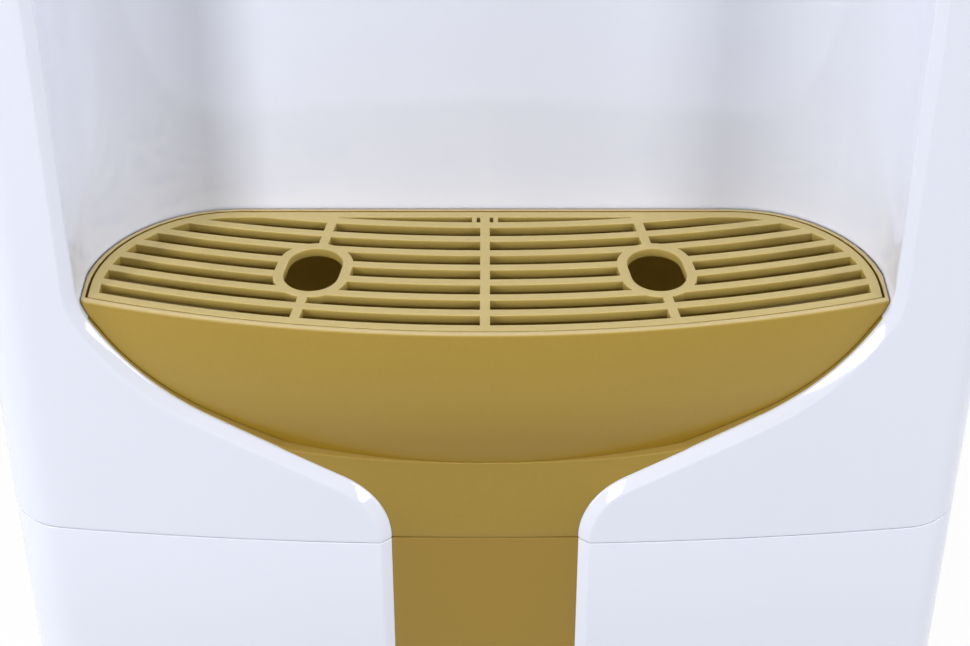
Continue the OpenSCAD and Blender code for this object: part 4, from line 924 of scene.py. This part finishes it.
def face_loops(node, z):
    """Outlines of a node's level face at a height, in metres."""
    mesh = NODES[node].data
    spots = [tuple(round(c, 6) for c in vertex.co) for vertex in mesh.vertices]
    edges = {}
    for face in mesh.polygons:
        if all(abs(mesh.vertices[i].co.z - z) < 1e-5 for i in face.vertices):
            ring = [spots[i] for i in face.vertices]
            for a, b in zip(ring, ring[1:] + ring[:1]):
                if (b, a) in edges:
                    del edges[(b, a)]
                else:
                    edges[(a, b)] = True
    if not edges:
        raise RuntimeError(f"{node} has no level face there")
    follow = dict(edges.keys())
    loops = []
    while follow:
        loop = [next(iter(follow))]
        while loop[-1] in follow:
            loop.append(follow.pop(loop[-1]))
        loops.append(loop[:-1])
    return loops


class COOLER_OT_grille(bpy.types.Operator):
    """Slotted grille, cut from its outline with rounded edges"""

    bl_idname = "cooler.grille"
    bl_label = "Grille"

    def execute(self, context):
        edge = context.scene.cooler_gold.edge
        low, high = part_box("drip_grille")
        outline = bpy.data.curves.new("grille_outline", "CURVE")
        outline.extrude = (high.z - low.z) / 2 - edge
        given(outline, dimensions="2D", fill_mode="BOTH", bevel_depth=edge, bevel_resolution=2, offset=-edge)
        for loop in face_loops("drip_grille", high.z):
            spline = outline.splines.new("POLY")
            spline.points.add(len(loop) - 1)
            for point, p in zip(spline.points, loop):
                point.co = (p[0], p[1], 0, 1)
            spline.use_cyclic_u = True
        plate = bpy.data.objects.new("grille_outline", outline)
        context.scene.collection.objects.link(plate)
        context.view_layer.update()
        mesh = bpy.data.meshes.new_from_object(plate.evaluated_get(context.evaluated_depsgraph_get()))
        bpy.data.objects.remove(plate)
        mesh.transform(Matrix.Translation((0, 0, (low.z + high.z) / 2)))
        mesh.shade_smooth()
        mesh.set_sharp_from_angle(angle=math.radians(35))
        mesh.name = "grille_plate"
        adopt(mesh, "grille_plate", "gold_plastic", "grille", "drip_grille", coat="gold_grille")
        return {"FINISHED"}


def top_loop(inset, z):
    """Closed level section of the top cover: bowed front, round corners, straight sides and rear."""
    r = max(TOP_LEAST_R, TOP_REAR_R - inset)
    x = HALF_W - inset - r
    y = REAR_Y - inset - r
    half = [(u, bow(u, inset)) for u in span(0, (BOW_R - inset) * math.sin(MEET_A), 15)]
    half += corner_line(inset)[1:CORNER_POINTS]
    half += [(HALF_W - inset, v) for v in span(CORNER_Y, y, 8)[1:-1]]
    half += arc((x, y), r, 0, QUARTER, 7)
    half += [(u, REAR_Y - inset) for u in span(x, 0, 12)[1:]]
    return level(half + [(-u, v) for u, v in reversed(half[1:-1])], z)


class COOLER_OT_top(bpy.types.Operator):
    """Top cover with its rounded edge, and the turned bottle seat"""

    bl_idname = "cooler.top"
    bl_label = "Top"

    def execute(self, context):
        made = context.scene.cooler_shell
        bead = made.bead / MM
        low = COVER_TOP + made.seam / MM
        # Outside, from the seam up over the rounded edge
        rows = [top_loop(TOP_WALL, low), top_loop(bead, low)]
        rows += [top_loop(pull, low + rise) for pull, rise in quarter_round(bead, 4)[1:]]
        rows += [top_loop(0, z) for z in span(low + bead + 0.4, TOP_Z - TOP_ROUND, 4)]
        rows += [top_loop(pull, TOP_Z - drop) for pull, drop in quarter_round(TOP_ROUND, 9)[-2::-1]]
        rows.append(top_loop(TOP_ROUND + 0.5, TOP_Z))
        # Level top, in rings towards the seat's hole
        edge = rows[-1]
        for share in (0.4, 0.9, 1.0):
            ring = []
            for x, y, z in edge:
                away = Vector((x, y - SEAT_Y))
                here = away.normalized() * (away.length + (TOP_HOLE_R - away.length) * share)
                ring.append((here.x, SEAT_Y + here.y, z))
            rows.append(ring)
        # Hole's edge and the inside, back to the seam
        inside = TOP_Z - TOP_THICK
        rows.append([(x, y, inside) for x, y, _ in rows[-1]])
        rows += [top_loop(TOP_WALL + TOP_THICK, inside), top_loop(TOP_WALL, TOP_Z - TOP_ROUND), rows[0]]
        skin = Skin()
        skin.sheet(rows, closed=True)
        skin.build("top_shell", "white_shell", "cabinet", "top_cover")

        # Seat's section, radius and height: neck, funnel, ring and flange
        section = [(31, 873), (31, 929), (93.4, 981), (93.4, 1000), (98.6, 1000), (98.6, 965)]
        section += [(110, 965), (110, 962.05), (96, 962.05), (96, 975.8), (33.6, 926.4), (33.6, 873)]
        section = soften(section, SEAT_ROUND, closed=True)
        seat = Skin()
        seat.turn(section, (0, SEAT_Y), context.scene.cooler_stage.facets, closed=True)
        seat.build("bottle_funnel", "white_shell", "seat", "bottle_seat")
        return {"FINISHED"}


class COOLER_OT_taps(bpy.types.Operator):
    """Two taps: turned bodies with their barrels and ears, and rounded levers"""

    bl_idname = "cooler.taps"
    bl_label = "Taps"

    def execute(self, context):
        steps = context.scene.cooler_stage.facets // 2
        for name in ("hot", "cold"):
            low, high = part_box(f"{name}_tap_body")
            x = (low.x + high.x) / 2 / MM
            self.body(name, x, steps)
            self.lever(name, x)
        return {"FINISHED"}

    def body(self, name, x, steps):
        """Upright body with its spout, the barrel with its flange, and the ears that hold the pin."""
        skin = Skin()
        # Radius and height of the body: spout, cone, cylinder and the bore for the stem
        upright = [(0, 777), (4.6, 777), (4.6, 770), (7.5, 770), (8.1, 773.5), (11, 782), (11, 816.5)]
        upright += [(9.8, 818), (3.6, 818), (3.6, 790), (0, 790)]
        skin.turn(soften(upright, TAP_ROUND), (x, TAP_Y), steps)
        # Radius and Y of the barrel: neck, flange against the alcove and the threaded end
        barrel = [(0, TAP_Y), (9, TAP_Y), (9, -111), (10, -106.5), (15, -105.3), (15, -101.3)]
        barrel += [(7.5, -101.3), (7.5, -82.3), (4.5, -82.3), (4.5, -100), (0, -100)]
        skin.turn(soften(barrel, TAP_ROUND), (x, TAP_Z), steps, axis="Y")
        # Ears, Y and Z: round over the pin, tapering down to the body
        over = arc((PIN_Y, PIN_Z), EAR_R, 0, math.pi, 13)
        foot = [(PIN_Y - EAR_R, 815), (-141, 803), (-133, 803), (-133, 813), (PIN_Y + EAR_R, 820)]
        foot = soften([over[-1], *foot, over[0]], EAR_ROUND)
        for side in (-1, 1):
            inner, outer = sorted((x + side * EAR_IN, x + side * EAR_OUT))
            skin.slab(over + foot[1:-1], inner, outer, EAR_EDGE, axis="X")
        skin.build(f"{name}_tap", "tap_plastic", "cabinet", f"{name}_tap_body", crease=45)

    def lever(self, name, x):
        """Lever as rounded sections along its length, and the cold one's mark."""
        # Y, half width, underside and top of each section, from the heel to the thumb's end
        stations = [(-127.4, 6.0, 824.4, 829.4), (-127.9, 7.0, 823.4, 830.4), (-129.4, 7.5, 822.8, 831.0)]
        stations += [(-140, 7.5, 822.8, 831.3), (-149, 7.6, 822.8, 831.3), (-153, 8.5, 823.0, 831.2)]
        stations += [(-156, 9.6, 823.4, 831.0), (-159, 10, 823.9, 830.9), (-162.4, 9.9, 824.5, 830.6)]
        stations += [(-164.5, 9.2, 825.2, 830.1), (-165.4, 8.0, 826.2, 829.2)]
        skin = Skin()
        rows = []
        for y, half, under, top in stations:
            r = min(LEVER_ROUND, 0.45 * (top - under))
            u = half - r
            corners = ((u, top - r), (-u, top - r), (-u, under + r), (u, under + r))
            ring = []
            for i, (across, z) in enumerate(corners):
                ring += arc((x + across, z), r, i * QUARTER, (i + 1) * QUARTER, 6)
            rows.append([(p, y, q) for p, q in ring])
        skin.sheet(rows, closed=True)
        skin.cap(rows[0])
        skin.cap(rows[-1])
        skin.build(f"{name}_lever", "tap_plastic", f"{name}_lever", f"{name}_tap_lever", crease=60)
        if name == "cold":
            mark = Skin()
            turns = span(0, 2 * math.pi, 33)[:-1]
            oval = [(x + MARK_WIDE * math.cos(a), MARK_Y + MARK_LONG * math.sin(a)) for a in turns]
            mark.slab(oval, MARK_LOW, MARK_HIGH, MARK_EDGE)
            mark.build("cold_mark", "blue_plastic", "cold_lever", "cold_tap_lever")


# Solids whose finish isn't the one of their slot
COATS = {"centre_strip": "gold_film"}


def keep(**widths):
    """Finishes solids that keep their shape. Their edges are broken by the given widths in millimetres."""
    slots = {part["node"]: part["material_slot"] for part in frame["record"]["subparts"]}
    for name, width in widths.items():
        node = NODES[name]
        node.data.materials.clear()
        node.data.materials.append(finish(COATS.get(name, slots[name])))
        node.data.shade_smooth()
        steps = node.modifiers
        given(steps.new("Weld", "WELD"), merge_threshold=5 * WELD)
        given(steps.new("Flats", "DECIMATE"), decimate_type="DISSOLVE", angle_limit=math.radians(0.5))
        if width:
            edge = dict(width=width * MM, segments=2, limit_method="ANGLE", angle_limit=math.radians(40))
            given(steps.new("Edge", "BEVEL"), **edge, harden_normals=True, use_clamp_overlap=True)
        given(steps.new("Creases", "EDGE_SPLIT"), split_angle=math.radians(50))
        given(steps.new("Even", "WEIGHTED_NORMAL"), keep_sharp=True)


class COOLER_OT_cabinet(bpy.types.Operator):
    """Base, feet, side and rear panels, shelves and screws"""

    bl_idname = "cooler.cabinet"
    bl_label = "Cabinet"

    def execute(self, context):
        keep(base_pan=0.6, feet=0.8, cabinet_screws=0.4, rear_panel=0.2)
        keep(left_side_panel=0.45, right_side_panel=0.45, middle_shelf=0.2, tank_shelf=0.2)
        return {"FINISHED"}


class COOLER_OT_front_fittings(bpy.types.Operator):
    """Strip on the lower front, and the indicator's fascia, lenses and board"""

    bl_idname = "cooler.front_fittings"
    bl_label = "Front fittings"

    def execute(self, context):
        keep(centre_strip=0.4, indicator_fascia=0.4, indicator_lenses=0.5, indicator_board=0.2)
        return {"FINISHED"}


class COOLER_OT_tap_fittings(bpy.types.Operator):
    """Stems, pins, gaskets and nuts of the taps, and the hot lever's lock"""

    bl_idname = "cooler.tap_fittings"
    bl_label = "Tap fittings"

    def execute(self, context):
        keep(hot_tap_stem=0.3, cold_tap_stem=0.3, tap_pins=0.3, tap_gaskets=0.2)
        keep(tap_nuts=0.5, hot_tap_lock=0.8)
        return {"FINISHED"}


class COOLER_OT_cold_water(bpy.types.Operator):
    """Feed probe, cold tank with its insulation, lid, baffle and coil, and the cold tube"""

    bl_idname = "cooler.cold_water"
    bl_label = "Cold water"

    def execute(self, context):
        keep(feed_probe=0.5, cold_tank=0.2, cold_insulation=1.0, tank_lid=1.0, cold_baffle=0.4)
        keep(evaporator_coil=0, cold_tube=0.2)
        return {"FINISHED"}


class COOLER_OT_hot_water(bpy.types.Operator):
    """Hot tank with its jacket, heater and thermostats, and the tubes to and from it"""

    bl_idname = "cooler.hot_water"
    bl_label = "Hot water"

    def execute(self, context):
        keep(hot_tank=0.3, hot_jacket=1.0, heater_band=0.3, hot_thermostats=0.5, feed_tube=0.2, hot_tube=0.2)
        return {"FINISHED"}


class COOLER_OT_drains(bpy.types.Operator):
    """Drain tubes, their spouts and caps"""

    bl_idname = "cooler.drains"
    bl_label = "Drains"

    def execute(self, context):
        keep(drain_tubes=0.2, drain_spouts=0.4, hot_drain_cap=0.9, cold_drain_cap=0.9)
        return {"FINISHED"}


class COOLER_OT_cooling(bpy.types.Operator):
    """Compressor on its bracket, condenser, drier and suction line"""

    bl_idname = "cooler.cooling"
    bl_label = "Cooling circuit"

    def execute(self, context):
        keep(compressor=2.0, compressor_bracket=0.6, compressor_grommets=0.8, compressor_bolts=0.5)
        keep(relay_cover=1.5, condenser_tube=0, condenser_wires=0.2, condenser_brackets=0.5)
        keep(filter_drier=0.5, suction_line=0)
        return {"FINISHED"}


class COOLER_OT_rear_electrics(bpy.types.Operator):
    """Power inlet and the two rocker switches in their housings"""

    bl_idname = "cooler.rear_electrics"
    bl_label = "Rear electrics"

    def execute(self, context):
        keep(power_inlet=0.5, switch_housings=0.6, hot_switch=0.5, cold_switch=0.5)
        return {"FINISHED"}


class COOLER_OT_stage(bpy.types.Operator):
    """Pale floor, even white surroundings, soft lamps and the camera"""

    bl_idname = "cooler.stage"
    bl_label = "Stage"

    def execute(self, context):
        scene = context.scene
        scene.view_settings.view_transform = "Standard"
        self.surroundings(scene)
        self.floor(scene)
        self.lamps(scene)
        self.eye(scene)
        return {"FINISHED"}

    def seen(self, tree):
        """One where a surface is seen, also in gloss or through glass, and zero where it only gives light."""
        path, _ = add(tree, "LightPath", None, {})
        rays = {0: (path, "Is Camera Ray"), 1: (path, "Is Glossy Ray")}
        plain = add(tree, "Math", "Value", rays, operation="MAXIMUM")
        return add(tree, "Math", "Value", {0: plain, 1: (path, "Is Transmission Ray")}, operation="MAXIMUM")

    def surroundings(self, scene):
        """White where they are seen, softer as light."""
        scene.world = bpy.data.worlds.new("Surroundings")
        tree = bare(scene.world)
        light = add(tree, "Background", 0, {"Color": WHITE, "Strength": scene.cooler_stage.ambient})
        white = add(tree, "Background", 0, {"Color": WHITE, "Strength": 1.0})
        both = add(tree, "MixShader", 0, {0: self.seen(tree), 1: light, 2: white})
        add(tree, "OutputWorld", None, {"Surface": both})

    def floor(self, scene):
        """Matt and pale, lifted to white for the eye, with the object's shadow left in it."""
        mesh = bpy.data.meshes.new("floor")
        ring = arc((0, 0), FLOOR_R * MM, 0, 2 * math.pi, FLOOR_SIDES + 1)[:-1]
        mesh.from_pydata(level(ring, -FLOOR_DROP * MM), [], [tuple(range(FLOOR_SIDES))])
        floor = bpy.data.objects.new("floor", mesh)
        scene.collection.objects.link(floor)
        pale = bpy.data.materials.new("Pale floor")
        tree = bare(pale)
        matt = add(tree, "BsdfDiffuse", 0, {"Color": FLOOR_GREY})
        dim = add(tree, "BsdfDiffuse", 0, {"Color": FLOOR_SEEN})
        lift = add(tree, "Emission", 0, {"Color": WHITE, "Strength": FLOOR_LIFT})
        near = add(tree, "AddShader", 0, {0: dim, 1: lift})
        white = add(tree, "Emission", 0, {"Color": WHITE, "Strength": 1.0})
        place = add(tree, "TexCoord", "Object", {})
        away = add(tree, "VectorMath", "Value", {0: place}, operation="LENGTH")
        reach = {"Value": away, "From Min": FADE_FROM * MM, "From Max": FADE_TO * MM}
        fade = add(tree, "MapRange", "Result", reach)
        shown = add(tree, "MixShader", 0, {0: fade, 1: near, 2: white})
        both = add(tree, "MixShader", 0, {0: self.seen(tree), 1: matt, 2: shown})
        add(tree, "OutputMaterial", None, {"Surface": both})
        mesh.materials.append(pale)

    def lamps(self, scene):
        """Soft lamps in front, at both sides, above and behind."""
        # Degrees from straight ahead and above level; distance, width and height in metres; share of the key
        lamps = (
            ("lamp_left", -42, 14, 2.2, 0.42, 1.0, 0.82),
            ("lamp_right", 50, 14, 2.2, 0.42, 1.0, 0.49),
            ("lamp_far_left", -82, 10, 2.0, 0.9, 1.4, 0.54),
            ("lamp_far_right", 77, 10, 2.0, 0.9, 1.4, 0.45),
            ("lamp_above", 0, 56, 2.2, 1.4, 0.9, 0.28),
            ("lamp_rear", 160, 30, 2.4, 1.2, 1.2, 0.6),
        )
        for name, aside, above, far, wide, tall, share in lamps:
            lamp = bpy.data.lights.new(name, "AREA")
            given(lamp, shape="RECTANGLE", size=wide, size_y=tall, energy=scene.cooler_stage.key * share)
            post = bpy.data.objects.new(name, lamp)
            turn = math.radians(aside)
            rise = math.radians(above)
            out = far * math.cos(rise)
            place = Vector((out * math.sin(turn), -out * math.cos(turn), far * math.sin(rise)))
            post.location = Vector([c * MM for c in LAMP_AIM]) + place
            post.rotation_euler = (-place).to_track_quat("-Z", "Y").to_euler()
            post.visible_camera = False
            scene.collection.objects.link(post)

    def eye(self, scene):
        """Camera in front of the object, looking down at the tray."""
        eye = bpy.data.cameras.new("eye")
        given(eye, lens=scene.cooler_stage.lens, sensor_width=EYE_FILM, sensor_fit="HORIZONTAL")
        camera = bpy.data.objects.new("eye", eye)
        camera.location = [c * MM for c in EYE_PLACE]
        camera.rotation_euler = (QUARTER - scene.cooler_stage.pitch, 0, 0)
        scene.collection.objects.link(camera)
        scene.camera = camera


class COOLER_PT_panel(bpy.types.Panel):
    bl_label = "Water cooler"
    bl_idname = "COOLER_PT_panel"
    bl_space_type = "VIEW_3D"
    bl_region_type = "UI"
    bl_category = "Cooler"

    def draw(self, context):
        for group in GROUPS:
            settings = getattr(context.scene, group)
            for key in settings.__annotations__:
                self.layout.prop(settings, key)
        for step in STEPS:
            self.layout.operator(step.bl_idname)


GROUPS = {"cooler_shell": ShellSettings, "cooler_gold": GoldSettings, "cooler_stage": StageSettings}
STEPS = (
    COOLER_OT_stage, COOLER_OT_front_shell, COOLER_OT_drip_tray, COOLER_OT_neck, COOLER_OT_grille,
    COOLER_OT_top, COOLER_OT_taps, COOLER_OT_tap_fittings, COOLER_OT_front_fittings, COOLER_OT_cabinet,
    COOLER_OT_cold_water, COOLER_OT_hot_water, COOLER_OT_drains, COOLER_OT_cooling, COOLER_OT_rear_electrics,
)


def register():
    for kind in (*GROUPS.values(), *STEPS, COOLER_PT_panel):
        bpy.utils.register_class(kind)
    for name, kind in GROUPS.items():
        setattr(bpy.types.Scene, name, PointerProperty(type=kind))


def unregister():
    for name in GROUPS:
        delattr(bpy.types.Scene, name)
    for kind in (COOLER_PT_panel, *reversed(STEPS), *GROUPS.values()):
        bpy.utils.unregister_class(kind)


def main():
    register()
    for step in STEPS:
        family, name = step.bl_idname.split(".")
        getattr(getattr(bpy.ops, family), name)()


if __name__ == "__main__":
    main()
